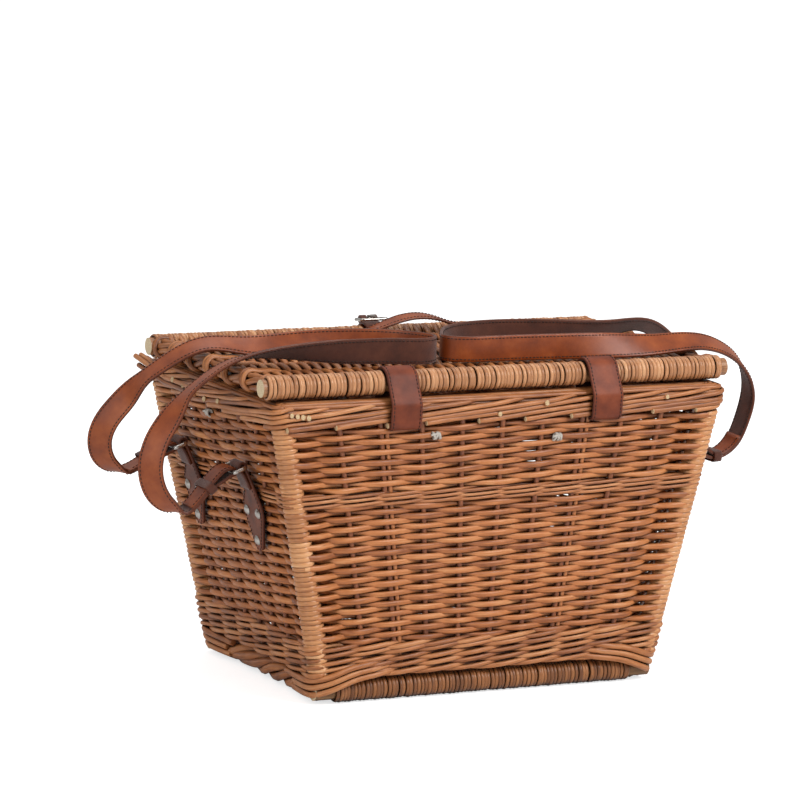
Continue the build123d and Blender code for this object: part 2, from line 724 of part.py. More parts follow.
half_prong = Vector(prong_width / 2, 0, 0)
prong_eye = tube(tuple(bar - half_prong), tuple(bar + half_prong), buckle_wire + prong_fit + prong_eye_wall,
                 buckle_wire + prong_fit)
lift = buckle_wire + prong_wire + seat_gap
prong_tip = far_bar + Vector(0, -prong_over, lift)
prong_root = bar + Vector(0, 0, lift)
prong = prong_eye + rod(tuple(prong_root), tuple(prong_tip), prong_wire)
prong -= rod(tuple(bar - half_closing), tuple(bar + half_closing), buckle_wire + prong_fit)
save("buckle_prong", prong)

# Paper ties caught in the weaving
ties = []
for along, drop in front_ties:
    level = rim_bottom - drop
    outward = Vector(0, -1, -long_lean)
    place = Vector(along, -half_depth(level), level) + outward.normalized() * (tie_thickness / 2 + seat_gap)
    plane = Plane(origin=place, x_dir=(1, 0, 0), z_dir=outward)
    ties.append(plane * Box(tie_width, tie_height, tie_thickness))
for along, drop in left_ties:
    place = wall_place(rim_bottom - drop, along, tie_thickness / 2 + seat_gap)
    plane = Plane(origin=place, x_dir=(0, -1, 0), z_dir=(-1, 0, -short_lean))
    ties.append(plane * Box(tie_width, tie_height, tie_thickness))
save("paper_ties", *ties)
print("strap ring axis", ring_axis, "lid axis level", lid_axis_level, "buckle bar", bar)
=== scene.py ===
"""The picnic basket's looks: woven willow rods, stitched leather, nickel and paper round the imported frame.

Lengths are millimetres in the frame's own axes and become metres when a mesh is made.
"""
from math import cos, hypot, pi, radians, sin, sqrt, tau

import bpy
import numpy as np
from mathutils import Matrix, Vector


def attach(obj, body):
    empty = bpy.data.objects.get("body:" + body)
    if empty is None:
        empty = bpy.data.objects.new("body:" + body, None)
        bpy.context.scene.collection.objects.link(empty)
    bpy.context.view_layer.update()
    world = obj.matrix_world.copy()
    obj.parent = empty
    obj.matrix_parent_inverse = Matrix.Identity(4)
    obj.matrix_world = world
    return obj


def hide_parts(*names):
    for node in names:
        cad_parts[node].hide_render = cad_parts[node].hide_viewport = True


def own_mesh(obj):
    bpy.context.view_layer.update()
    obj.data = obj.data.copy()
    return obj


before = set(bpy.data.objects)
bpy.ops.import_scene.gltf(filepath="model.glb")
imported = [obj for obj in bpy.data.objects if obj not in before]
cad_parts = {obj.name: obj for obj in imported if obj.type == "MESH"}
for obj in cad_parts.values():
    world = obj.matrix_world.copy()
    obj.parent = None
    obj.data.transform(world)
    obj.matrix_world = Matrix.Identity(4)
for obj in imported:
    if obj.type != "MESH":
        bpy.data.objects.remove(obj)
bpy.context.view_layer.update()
dice = np.random.default_rng(41)
METRE = 0.001

# Walls, as the frame has them
rim_length = 460
rim_depth = 288
foot_length = 340
foot_depth = 252
rim_height = 276
foot_wale_bottom = 24
foot_wale_top = 54
middle_wale_bottom = 182
middle_wale_top = 195
rim_bottom = 254
rim_stand = 2.9
rim_inside = 20.5
rim_round = 3
wall_middle = 5
column_radius = 11
stake_radius = 2.6
long_wall_stakes = 9
short_wall_stakes = 6
long_lean = (rim_depth - foot_depth) / 2 / rim_height
short_lean = (rim_length - foot_length) / 2 / rim_height

# Weaving rods
row_pitch = 4.7
rod_radius = 2.88
weave_swing = 2.8
weave_press = 0.78
weave_climb = 0.5
winding_pitch = 4.5
winding_radius = 2.35
winding_press = 0.7
mat_rod = 2.45
wale_rod = 2.3
fine_wale_rod = 1.6
foot_wale_levels = (28.2, 34.6, 41.0, 47.4, 52.6)
middle_wale_levels = (184.4, 188.6, 192.8)
corner_span = 0.6

# Rim border: levels and depths of its rods, and the ends that stand out of it
border_rod = 2.6
border_count = 34
border_span = 4.5
border_layers = ((1.4, 255.6, 274.2, 1), (16.2, 255.8, 273.8, -1))
border_runs_at = ((5.4, 274.6), (9.4, 275.5), (13.4, 276.0), (17.2, 276.4), (20.2, 275.8), (5.2, 270.4),
                  (7.0, 267.6), (11.4, 267.8), (7.0, 262.4), (11.4, 262.6), (7.0, 257.4), (11.4, 257.4))
under_strap_level = 273
stub_radius = 2.5
stub_places = (("front", -214, 268), ("front", -208.4, 267), ("front", -203, 266), ("front", -197.4, 265),
               ("front", -8, 260), ("front", 39, 268), ("front", 163, 268), ("left", -11, 259),
               ("left", -57, 264), ("left", -79, 266), ("left", 20, 262))
frayed_rods = ((0.6, 271.0, 13.5, 4.5), (4.6, 274.0, 10.0, 3.5), (0.2, 265.5, 9.0, 3.0),
               (5.0, 268.5, 12.0, 5.0), (9.2, 272.5, 8.0, 2.5))

# Mats of the lid and the floor; a plait is its radius, its rods' radius and its turns
both_ends = (("left", -1), ("right", 1))
outer_stick_radius = 8
binding_radius = 11.6
lid_level = 290.9
lid_stick_y = 124.5
lid_binding_x = 229
lid_border_x = 222
floor_level = 11.5
floor_stick_y = 114
floor_binding_x = 150
floor_border_x = 159
inner_sticks = 5
inner_stick_radius = 3.5
coils_in_group = (4, 8)
floor_coil = 1.8
lid_plait = (8.2, 2.9, 1.3)
lid_end_loop = (7.0, 2.6)
floor_plait = (10.6, 4.1, 1.5)

# Paper ties on the rods
tie_places = (("front", -68, 244), ("front", 55, 237), ("left", -11, 247))
tie_reach = 3.0
tie_string = 1.35

# Leather
strap_clearance = 0.5
hinge_x = 101.3
hinge_width = 31
hinge_leather = 2.8
strap_width = 24
strap_leather = 2.9
strap_tail = 46
tab_y = 65.8
tab_leather = 3.4
tab_length = 82
tab_tip = 10
tab_level = 134
tab_stand = 1.3
eye_stand = 9
eye_reach = 11
ring_wire = 1.8
ring_clearance = 0.1
ring_way = np.array((-0.94, 0, -0.34)) / hypot(0.94, 0.34)
keeper_width = 8
keeper_leather = 1.7
closing_x = -6
closing_width = 18
closing_leather = 2.5
buckle_bar_y = 131.858
buckle_bar_z = 306.679
buckle_wire = 1.6
catch_level = 232
catch_width = 16
thread_pitch = 3.6
thread_length = 2.5
thread_width = 0.42
thread_inset = 2.6


def half_length(level):
    return foot_length / 2 + short_lean * level


def half_depth(level):
    return foot_depth / 2 + long_lean * level


def unit(vectors):
    vectors = np.asarray(vectors, float)
    return vectors / np.linalg.norm(vectors, axis=-1, keepdims=True)


def xyz(*parts):
    """Points from their coordinates, where one value may serve for all."""
    return np.stack(np.broadcast_arrays(*parts), axis=-1)


def square_off(across, ahead):
    """Directions across a line, made square to the way ahead."""
    return unit(across - ahead * np.sum(across * ahead, axis=1, keepdims=True))


def distances(line):
    """How far along a line each of its points lies."""
    return np.concatenate(([0], np.cumsum(np.linalg.norm(np.diff(line, axis=0), axis=1))))


def for_rows(value, rows):
    """A value for each row; a single value serves for all."""
    return np.broadcast_to(np.asarray(value, float), rows)


def ease(share):
    """A share kept between 0 and 1, with soft ends."""
    share = np.clip(share, 0, 1)
    return share * share * (3 - 2 * share)


def wander(reach=1.0, shortest=40, longest=420, parts=5):
    """A smooth random line: a few waves of random length and phase."""
    lengths = dice.uniform(shortest, longest, parts)
    phases = dice.uniform(0, tau, parts)
    return lambda place: reach * sum(np.sin(tau * np.asarray(place) / length + phase)
                                     for length, phase in zip(lengths, phases)) / sqrt(parts)


def tube_faces(rows, around):
    """The four-sided faces between rings of points, ring by ring."""
    return [(row * around + column, row * around + (column + 1) % around,
             (row + 1) * around + (column + 1) % around, (row + 1) * around + column)
            for row in range(rows - 1) for column in range(around)]


def scene_object(name, data):
    made = bpy.data.objects.new(name, data)
    bpy.context.scene.collection.objects.link(made)
    return made


class Mesh:
    """Points and faces gathered into one mesh, with a grain direction and a tone for its material."""

    def __init__(self):
        self.points, self.grain, self.tone = [], [], []
        self.faces, self.kinds, self.smooth = [], [], []
        self.count = 0

    def add(self, points, grain, tone, faces, kinds, smooth):
        self.points.append(points)
        self.grain.append(grain)
        self.tone.append(tone)
        self.faces += [[self.count + index for index in face] for face in faces]
        self.kinds += kinds
        self.smooth += smooth
        self.count += len(points)

    def rod(self, path, radius, square_to=(0, 0, 1), sides=8, squeeze=1.0, cut=(False, False), kind=0):
        """A round rod along a path; a cut end is flat and pale."""
        path = np.asarray(path, float)
        radius = for_rows(radius, len(path))
        ahead = unit(np.gradient(path, axis=0))
        path = np.vstack((path[0] - ahead[0] * radius[0] * 0.25, path,
                          path[-1] + ahead[-1] * radius[-1] * 0.25))
        ahead = np.vstack((ahead[:1], ahead, ahead[-1:]))
        radius = np.concatenate(([radius[0] * 0.8], radius, [radius[-1] * 0.8]))
        side = unit(np.cross(ahead, square_to))
        over = np.cross(side, ahead)
        turn = np.arange(sides)[:, None] / sides * tau
        ring = side[:, None] * np.cos(turn) * squeeze + over[:, None] * np.sin(turn)
        points = (path[:, None] + ring * radius[:, None, None]).reshape(-1, 3)
        rows = len(path)
        grain = xyz(distances(path)[:, None] * 0.05, np.cos(turn).T, np.sin(turn).T).reshape(-1, 3)
        grain = grain + dice.uniform(0, 90, 3)
        tone = np.full(len(points), dice.uniform())
        faces = tube_faces(rows, sides)
        kinds = [1 if (row == 0 and cut[0]) or (row == rows - 2 and cut[1]) else kind
                 for row in range(rows - 1) for column in range(sides)]
        smooth = [True] * len(faces)
        faces += [tuple(reversed(range(sides))), tuple((rows - 1) * sides + index for index in range(sides))]
        kinds += [1 if pale else kind for pale in cut]
        smooth += [False, False]
        self.add(points, grain, tone, faces, kinds, smooth)

    def build(self, name, body, slot, materials, *nodes):
        """Make the object, ride it on its body and let it stand for its CAD nodes."""
        mesh = bpy.data.meshes.new(name)
        points = np.vstack(self.points) * METRE
        mesh.from_pydata(points.tolist(), [], self.faces)
        for label, kind, values in (("grain", "FLOAT_VECTOR", np.vstack(self.grain)),
                                    ("tone", "FLOAT", np.concatenate(self.tone))):
            layer = mesh.attributes.new(label, kind, "POINT")
            layer.data.foreach_set("vector" if kind == "FLOAT_VECTOR" else "value", values.ravel())
        mesh.polygons.foreach_set("material_index", self.kinds)
        mesh.polygons.foreach_set("use_smooth", self.smooth)
        for material in materials:
            mesh.materials.append(material)
        piece = scene_object(name, mesh)
        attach(piece, body)
        if nodes:
            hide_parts(*nodes)
        return piece


# Materials

def node(tree, kind, **inputs):
    """Add a shader node; inputs are values or sockets, by input name, or by number as i0, i1 and so on."""
    made = tree.nodes.new(kind)
    for label, value in inputs.items():
        if label.startswith("_"):
            setattr(made, label[1:], value)
            continue
        numbered = label[0] == "i" and label[1:].isdigit()
        socket = made.inputs[int(label[1:]) if numbered else label]
        if isinstance(value, bpy.types.NodeSocket):
            tree.links.new(value, socket)
        else:
            socket.default_value = value
    return made


def srgb(red, green, blue):
    """A colour written as 0 to 255, as the renderer wants it."""
    linear = [((c / 255 + 0.055) / 1.055) ** 2.4 if c > 10 else c / 255 / 12.92 for c in (red, green, blue)]
    return (*linear, 1)


BLACK = (0, 0, 0)
WHITE = (255, 255, 255)


def ramp(tree, factor, *stops):
    """A colour ramp; each stop is a place and a colour written as 0 to 255."""
    made = node(tree, "ShaderNodeValToRGB", Fac=factor)
    band = made.color_ramp
    while len(band.elements) < len(stops):
        band.elements.new(0.5)
    for element, (place, colour) in zip(band.elements, stops):
        element.position = place
        element.color = srgb(*colour)
    return made.outputs["Color"]


def math(tree, operation, first, second=0.0):
    return node(tree, "ShaderNodeMath", _operation=operation, i0=first, i1=second).outputs[0]


def scaled(tree, value, factor, offset=0.0):
    """A value times a factor, plus an offset."""
    return node(tree, "ShaderNodeMath", _operation="MULTIPLY_ADD", i0=value, i1=factor, i2=offset).outputs[0]


def mix(tree, blend, factor, first, second):
    made = node(tree, "ShaderNodeMix", _data_type="RGBA", _blend_type=blend, i0=factor, i6=first, i7=second)
    return made.outputs[2]


def tinted(tree, factor, colour, tint):
    """A colour multiplied by a tint of 0 to 255, as far as the factor says."""
    return mix(tree, "MULTIPLY", factor, colour, srgb(*tint))


def noise(tree, place, scale, detail=3.0, roughness=0.5, stretch=(1, 1, 1)):
    """Noise over a place, stretched along its axes."""
    spread = node(tree, "ShaderNodeMapping", Vector=place, Scale=stretch)
    return node(tree, "ShaderNodeTexNoise", Vector=spread.outputs[0], Scale=scale, Detail=detail,
                Roughness=roughness).outputs["Fac"]


def new_material(name):
    material = bpy.data.materials.new(name)
    material.use_nodes = True
    tree = material.node_tree
    return material, tree, tree.nodes["Principled BSDF"]


def attribute(tree, name, output):
    return node(tree, "ShaderNodeAttribute", _attribute_name=name).outputs[output]


def object_place(tree):
    return node(tree, "ShaderNodeTexCoord").outputs["Object"]


def finish_surface(tree, shader, colour, roughness, height, bump, sheen=0.0, coat=0.0, coat_rough=0.2):
    tree.links.new(colour, shader.inputs["Base Color"])
    tree.links.new(roughness, shader.inputs["Roughness"])
    relief = node(tree, "ShaderNodeBump", Strength=bump, Distance=0.0006, Height=height)
    tree.links.new(relief.outputs[0], shader.inputs["Normal"])
    shader.inputs["Sheen Weight"].default_value = sheen
    shader.inputs["Coat Weight"].default_value = coat
    shader.inputs["Coat Roughness"].default_value = coat_rough


def willow(name, dark, middle, light, rough=0.42, place=None):
    """Peeled willow: streaks along the rod, a tone for each rod, small knots, and painted shade that darkens
    the crevices between the rods.
    """
    material, tree, shader = new_material(name)
    grain = place(tree) if place else attribute(tree, "grain", "Vector")
    streaks = noise(tree, grain, 2.2, 5.0, 0.62, (0.35, 1, 1))
    blotches = noise(tree, grain, 0.9, 2.0, 0.5, (1.6, 0.5, 0.5))
    knots = node(tree, "ShaderNodeTexVoronoi", Vector=grain, Scale=0.55).outputs["Distance"]
    knot = ramp(tree, knots, (0.03, WHITE), (0.09, BLACK))
    level = scaled(tree, streaks, 0.75, -0.26)
    level = math(tree, "ADD", level, scaled(tree, blotches, 0.35))
    level = math(tree, "ADD", level, scaled(tree, attribute(tree, "tone", "Fac"), 0.28))
    colour = ramp(tree, level, (0.18, dark), (0.5, middle), (0.82, light))
    colour = tinted(tree, scaled(tree, knot, 0.55), colour, (120, 72, 45))
    # Painted shade: an ambient occlusion mask darkens the colour towards a deep brown where rods lie close
    # together, standing in for shade in the crevices.
    occlusion = node(tree, "ShaderNodeAmbientOcclusion", _samples=4, Distance=0.007).outputs["AO"]
    painted_crevice_shade = ramp(tree, occlusion, (0.2, (66, 38, 26)), (0.78, WHITE))
    colour = mix(tree, "MULTIPLY", 1.0, colour, painted_crevice_shade)
    finish_surface(tree, shader, colour, scaled(tree, streaks, 0.25, rough - 0.12), streaks, 0.25,
                   coat=0.12, coat_rough=0.3)
    return material


def along_x(tree):
    """Grain running along X for CAD rods that lie along the basket."""
    return node(tree, "ShaderNodeMapping", Vector=object_place(tree), Scale=(40, 300, 300)).outputs[0]


def along_z(tree):
    """Grain running up for CAD stakes and posts."""
    return node(tree, "ShaderNodeMapping", Vector=object_place(tree), Scale=(300, 300, 40)).outputs[0]


def cut_wood(name):
    """The pale cut end of a willow rod, speckled and a little stained."""
    material, tree, shader = new_material(name)
    place = object_place(tree)
    speckle = noise(tree, place, 900, 3.0, 0.6)
    patch = noise(tree, place, 160, 3.0, 0.5)
    colour = ramp(tree, speckle, (0.3, (190, 158, 112)), (0.55, (222, 198, 158)), (0.8, (236, 218, 184)))
    colour = tinted(tree, scaled(tree, patch, 0.5), colour, (205, 165, 120))
    finish_surface(tree, shader, colour, scaled(tree, speckle, 0.2, 0.6), speckle, 0.4)
    return material


def stick_with_ends(name, dark, middle, light):
    """A thick lid or floor stick: bark along it and pale cut ends."""
    material = willow(name, dark, middle, light, place=along_x)
    tree = material.node_tree
    shader = tree.nodes["Principled BSDF"]
    bark = shader.inputs["Base Color"].links[0].from_socket
    saw = noise(tree, object_place(tree), 500, 4.0, 0.6, (1, 1, 2.2))
    pale = ramp(tree, saw, (0.3, (196, 165, 118)), (0.55, (226, 204, 165)), (0.8, (238, 222, 190)))
    facing = node(tree, "ShaderNodeSeparateXYZ", Vector=node(tree, "ShaderNodeNewGeometry").outputs["Normal"])
    end = math(tree, "GREATER_THAN", math(tree, "ABSOLUTE", facing.outputs[0]), 0.7)
    tree.links.new(mix(tree, "MIX", end, bark, pale), shader.inputs["Base Color"])
    return material


def leather(name, dark, middle, light, rough=0.4, coat=0.25):
    """Smooth tan leather: pores, a mottled tone, darker burnished edges."""
    material, tree, shader = new_material(name)
    grain = attribute(tree, "grain", "Vector")
    mottle = noise(tree, grain, 0.05, 4.0, 0.55)
    pores = node(tree, "ShaderNodeTexVoronoi", Vector=grain, Scale=1.5).outputs["Distance"]
    wrinkle = noise(tree, grain, 0.5, 5.0, 0.6)
    colour = ramp(tree, mottle, (0.3, dark), (0.5, middle), (0.72, light))
    burnt = ramp(tree, attribute(tree, "tone", "Fac"), (0.9, BLACK), (0.985, WHITE))
    colour = mix(tree, "MIX", scaled(tree, burnt, 0.72), colour, srgb(62, 28, 16))
    colour = tinted(tree, scaled(tree, wrinkle, 0.16), colour, (150, 110, 90))
    height = math(tree, "ADD", scaled(tree, pores, 0.5), scaled(tree, wrinkle, 0.6))
    shader.inputs["Specular IOR Level"].default_value = 0.32
    finish_surface(tree, shader, colour, scaled(tree, wrinkle, 0.2, rough - 0.1), height, 0.22,
                   coat=coat, coat_rough=0.32)
    return material


def suede(name):
    """The brushed flesh side of the leather."""
    material, tree, shader = new_material(name)
    grain = attribute(tree, "grain", "Vector")
    nap = noise(tree, grain, 1.6, 6.0, 0.7)
    patch = noise(tree, grain, 0.07, 3.0, 0.5)
    level = math(tree, "ADD", scaled(tree, nap, 0.5), scaled(tree, patch, 0.5))
    colour = ramp(tree, level, (0.3, (60, 28, 16)), (0.5, (86, 42, 25)), (0.75, (110, 60, 38)))
    finish_surface(tree, shader, colour, scaled(tree, nap, 0.15, 0.78), nap, 0.5, sheen=0.3)
    return material


def thread(name):
    """Waxed sewing thread with its twist."""
    material, tree, shader = new_material(name)
    grain = attribute(tree, "grain", "Vector")
    twist = node(tree, "ShaderNodeTexWave", Vector=grain, Scale=1.4, Distortion=0.6).outputs["Fac"]
    colour = ramp(tree, twist, (0.2, (30, 15, 10)), (0.8, (58, 32, 22)))
    finish_surface(tree, shader, colour, scaled(tree, twist, 0.2, 0.55), twist, 0.4)
    return material


def nickel(name):
    """Nickel plate: fine scratches and faint cloudy wear."""
    material, tree, shader = new_material(name)
    place = object_place(tree)
    scratches = noise(tree, place, 700, 4.0, 0.65, (1, 6, 1))
    cloud = noise(tree, place, 120, 3.0, 0.5)
    colour = ramp(tree, cloud, (0.3, (168, 160, 152)), (0.7, (205, 200, 194)))
    shader.inputs["Metallic"].default_value = 1.0
    finish_surface(tree, shader, colour, scaled(tree, scratches, 0.25, 0.12), scratches, 0.08)
    return material


def paper(name):
    """Whitish twisted paper string, a little stained."""
    material, tree, shader = new_material(name)
    fibre = noise(tree, object_place(tree), 800, 5.0, 0.7, (1, 1, 3))
    colour = ramp(tree, fibre, (0.3, (168, 160, 148)), (0.6, (205, 198, 188)))
    finish_surface(tree, shader, colour, scaled(tree, fibre, 0.1, 0.8), fibre, 0.5)
    return material


wall_willow = willow("willow wall rods", (132, 70, 32), (198, 122, 66), (230, 170, 116))
wale_willow = willow("willow wale rods", (126, 68, 34), (190, 120, 68), (226, 168, 116))
column_willow = willow("willow corner windings", (166, 102, 58), (220, 156, 102), (244, 198, 150), 0.32)
lid_willow = willow("willow lid rods", (112, 60, 30), (176, 108, 58), (216, 156, 102))
lid_wrap = willow("willow lid windings", (150, 96, 58), (204, 144, 98), (232, 184, 138), 0.38)
floor_willow = willow("willow floor rods", (96, 54, 30), (146, 90, 54), (180, 122, 78))
floor_wrap = willow("willow floor windings", (102, 60, 32), (158, 100, 56), (194, 134, 84))
stake_willow = willow("willow stakes", (116, 60, 30), (172, 100, 54), (204, 138, 88), place=along_z)
inner_willow = willow("willow inner sticks", (110, 64, 36), (166, 106, 66), (200, 144, 100), place=along_x)
lid_stick_wood = stick_with_ends("willow lid sticks", (140, 92, 58), (196, 142, 98), (226, 182, 138))
floor_stick_wood = stick_with_ends("willow floor sticks", (120, 84, 48), (168, 124, 78), (196, 156, 108))
cut_end = cut_wood("willow cut ends")
strap_leather_face = leather("strap leather", (124, 56, 22), (148, 70, 28), (168, 86, 38))
tab_leather_face = leather("tab leather", (80, 36, 18), (112, 54, 26), (140, 70, 34), 0.48, 0.04)
hinge_leather_face = leather("hinge leather", (98, 42, 22), (122, 55, 29), (144, 70, 38), 0.52, 0.03)
flesh_side = suede("leather flesh side")
sewing_thread = thread("sewing thread")
plated = nickel("nickel plate")
paper_string = paper("paper string")


# Walls

def on_wall(wall, along, level, depth):
    """A point of a wall: distance along it from its middle, level, and depth in from its outer face."""
    if wall in ("front", "back"):
        x, y = along, depth - half_depth(level)
    else:
        x, y = depth - half_length(level), -along
    turn = -1 if wall in ("back", "right") else 1
    return xyz(turn * x, turn * y, level)


def wall_facts(wall):
    """How many stakes a wall has, and its half length as a function of level."""
    if wall in ("front", "back"):
        return long_wall_stakes, half_length
    return short_wall_stakes, half_depth


def corner_centre(wall, level):
    """Centre of the corner post at a wall's end, going round the basket from the front left."""
    return on_wall(wall, wall_facts(wall)[1](level) - column_radius, level, column_radius)


def woven(name, material, nodes, *weaves, body="basket", slot="willow_weave"):
    """One piece of willow rods; each weave is a function and what it takes after the mesh."""
    rods = Mesh()
    for weave, *sizes in weaves:
        weave(rods, *sizes)
    rods.build(name, body, slot, (material, cut_end), *nodes)


def randing(rods, wall, low, high, pitch, radius):
    """Plain weaving: each row passes before one stake and behind the next, and turns round the posts."""
    stakes, half = wall_facts(wall)
    rows = round((high - low) / pitch)
    sag = wander(0.9, 90, 500)
    for row in range(rows):
        centre = low + (row + 0.5) * (high - low) / rows
        free = half(centre) - 2 * column_radius
        end = 1 + column_radius / free
        share = np.linspace(-end, end, 9 * (stakes + 1) + 1)
        along = share * free
        beat = np.clip((share + 1) / 2 * (stakes + 1) - 1, -1, stakes) + row
        swing = np.cos(pi * beat)
        own = wander(0.16, 30, 200)
        level = centre + weave_climb * np.sin(pi * beat) + own(along) + sag(along + 0.4 * centre)
        turn_in = ease((np.abs(share) * (stakes + 1) - (stakes - 1)) / 2)
        depth = (1 - turn_in) * (wall_middle - weave_swing * swing)
        depth += turn_in * (column_radius - (column_radius - radius) * swing)
        thick = radius * dice.uniform(0.94, 1.08) * (1 + wander(0.05, 60, 300)(along))
        rods.rod(on_wall(wall, along, level, depth), thick, squeeze=weave_press)


def column_windings(rods, low, high):
    """Rods wound closely round the four corner posts, nine lengths on each."""
    reach = column_radius - winding_radius + 0.2
    turns = (high - low) / winding_pitch
    share = np.linspace(0, 1, round(turns * 16) + 1)
    level = low + (high - low) * share
    for wall in ("left", "front", "right", "back"):
        angle = tau * turns * share + dice.uniform(0, tau)
        step = wander(0.35, 6, 30)(level)
        ring = xyz(np.cos(angle), np.sin(angle), 0)
        path = corner_centre(wall, level) + ring * (reach + 0.3 * step[:, None])
        thick = winding_radius * (1 + wander(0.07, 8, 50)(level)) * 1.18
        for piece in np.array_split(np.arange(len(share)), 9):
            span = slice(piece[0], piece[-1] + 2)
            rods.rod(path[span], thick[span], squeeze=winding_press)


# Each wall going round from the front left post, with its gaps between stakes and its way out
walls_round = (("front", long_wall_stakes + 1, (0, -1, 0)), ("right", short_wall_stakes + 1, (1, 0, 0)),
               ("back", long_wall_stakes + 1, (0, 1, 0)), ("left", short_wall_stakes + 1, (-1, 0, 0)))
round_trip = sum(span for wall, span, out in walls_round) + 4 * corner_span


def around(station, level, depth):
    """A point going round the basket; station counts stakes from the front left post."""
    station = station % round_trip
    for index, (wall, span, out) in enumerate(walls_round):
        if station <= span:
            half = wall_facts(wall)[1](level) - column_radius
            return on_wall(wall, (2 * station / span - 1) * half, level, depth)
        station -= span
        if station <= corner_span:
            turn = station / corner_span * pi / 2
            after = walls_round[(index + 1) % 4][2]
            way = np.array(out) * cos(turn) + np.array(after) * sin(turn)
            return corner_centre(wall, level) + (column_radius - depth) * way
        station -= corner_span
    return around(0, level, depth)


def path_around(stations, level, depth):
    return [around(*place) for place in zip(stations, level, depth)]


def waling(rods, levels, radius, climb, swing):
    """Three rods twisted round the basket in each row, each before two stakes and behind one."""
    beats = 36
    stations = np.linspace(0, round_trip, beats * 9 + 1)
    for centre in levels:
        start = dice.integers(0, 3)
        sag = wander(0.5, 5, 20)
        for strand in range(3):
            angle = tau * (stations / round_trip * beats - strand - start - 0.5) / 3
            level = centre + climb * np.sin(angle) + sag(stations) + dice.uniform(-0.2, 0.2)
            path = path_around(stations, level, wall_middle - swing * np.cos(angle))
            rods.rod(path, radius * dice.uniform(0.93, 1.07) * (1 + wander(0.05, 2, 12)(stations)))


def border_layer(rods, outside, low, high, inward):
    """Border rods: each leaves its stake, climbs slowly before the next five and is tucked in."""
    share = np.linspace(0, 1, 46)
    tuck = np.clip((share - 0.86) / 0.14, 0, 1)
    lead = np.clip((0.1 - share) / 0.1, 0, 1)
    for index in range(border_count):
        start = index * round_trip / border_count + dice.uniform(-0.15, 0.15)
        level = low + (high - low) * share ** 1.1 + wander(0.5, 0.3, 1.6)(share)
        depth = outside + inward * (5.5 * tuck ** 1.5 - lead) + wander(0.45, 0.2, 1.2)(share)
        taper = border_rod * (1.02 - 0.22 * share) * dice.uniform(0.9, 1.08)
        rods.rod(path_around(start + share * border_span, level, depth), taper, cut=(True, False))


def border_runs(rods):
    """Rods all the way round that fill the border; the top ones dip under the closing strap."""
    strap_station = (long_wall_stakes + 1 + short_wall_stakes + 1 + 2 * corner_span
                     + 0.5 * (long_wall_stakes + 1) * (1 - closing_x / (rim_length / 2 - column_radius)))
    stations = np.linspace(0, round_trip, 330)
    under_strap = np.exp(-((stations - strap_station) / 0.8) ** 4)
    for depth, level in border_runs_at:
        sway = wander(0.8, 3, 12)
        lift = wander(0.5, 3, 12)
        heights = level + lift(stations) * 0.7 - max(0.0, level - under_strap_level) * under_strap
        rods.rod(path_around(stations, heights, depth + sway(stations)), border_rod * 0.9)


def border_ends(rods):
    """Cut stubs that stand out of the border, and frayed rods past its back left corner."""
    for wall, along, level in stub_places:
        stub = [on_wall(wall, along + 0.8 * step, level + 0.5 * step, depth)
                for step, depth in enumerate((6.0, 2.0, -1.6))]
        rods.rod(stub, stub_radius * dice.uniform(0.9, 1.1), (0.2, 0.1, 1), cut=(False, True))
    for depth, level, past, rise in frayed_rods:
        y = np.linspace(30, rim_depth / 2 + past, 30)
        out = np.clip((y - 100) / 50, 0, 1.3)
        path = on_wall("left", -y, level - 5 + (5 + rise) * out, depth - 2.5 * out)
        rods.rod(path, border_rod * np.linspace(1.05, 0.95, 30), cut=(False, True))


def second_stakes(rods):
    """Second stakes beside the second and seventh stake of the front wall."""
    level = np.linspace(30, 266, 20)
    for index in (1, 6):
        share = (index + 1) / (long_wall_stakes + 1) * 2 - 1
        along = share * (half_length(level) - 2 * column_radius) + 5.4
        rods.rod(on_wall("front", along, level, wall_middle), stake_radius * 0.95, (1, 0, 0))


def wall_pieces():
    """All woven rods of the walls."""
    for wall in ("front", "back", "left", "right"):
        woven(f"wall_rods_{wall}", wall_willow, (f"weave_{wall}",),
              (randing, wall, foot_wale_top, middle_wale_bottom, row_pitch, rod_radius),
              (randing, wall, middle_wale_top, rim_bottom - 1.2, row_pitch * 0.99, rod_radius * 0.98))
    woven("corner_post_windings", column_willow, ("corner_windings",),
          (column_windings, foot_wale_bottom + 2, rim_bottom), slot="willow_binding")
    woven("foot_wale_rods", wale_willow, ("foot_wale",), (waling, foot_wale_levels, wale_rod, 2.0, 4.4))
    woven("middle_wale_rods", wale_willow, ("middle_wale",),
          (waling, middle_wale_levels, fine_wale_rod, 1.1, 4.0))
    woven("rim_border_rods", wale_willow, ("rim_border",),
          *((border_layer, *layer) for layer in border_layers), (border_runs,), (border_ends,))
    woven("second_stakes", wall_willow, (), (second_stakes,), slot="willow_stick")


# Lid and floor

def mat_weavers(rods, level, stick_y, reach_x, gaps):
    """Weavers across a mat, over one inner stick and under the next; some stop short beside a strap."""
    x = -reach_x + 2
    index = 0
    rise = inner_stick_radius + mat_rod - 0.7
    edge_rise = outer_stick_radius + mat_rod - 1.6
    short_by = 18
    sway = wander(0.8, 60, 300)
    while x < reach_x - 2:
        short_ends = [end for place, half, end in gaps if abs(x - place) < half]
        y = np.linspace(-stick_y + short_by * (-1 in short_ends), stick_y - short_by * (1 in short_ends), 61)
        beat = (y / stick_y + 1) / 2 * (inner_sticks + 1) + index
        swing = np.cos(pi * beat)
        edge = ease((np.abs(y) / stick_y * (inner_sticks + 1) - (inner_sticks - 1)) / 2)
        height = (1 - edge) * rise * swing + edge * edge_rise * swing
        place = x + 0.55 * np.sin(pi * beat) + sway(y) + wander(0.18, 30, 150)(y)
        rods.rod(xyz(place, y, level + height), mat_rod * dice.uniform(1.1, 1.22), (1, 0, 0), squeeze=0.84)
        x += mat_rod * 2 * dice.uniform(0.98, 1.08)
        index += 1


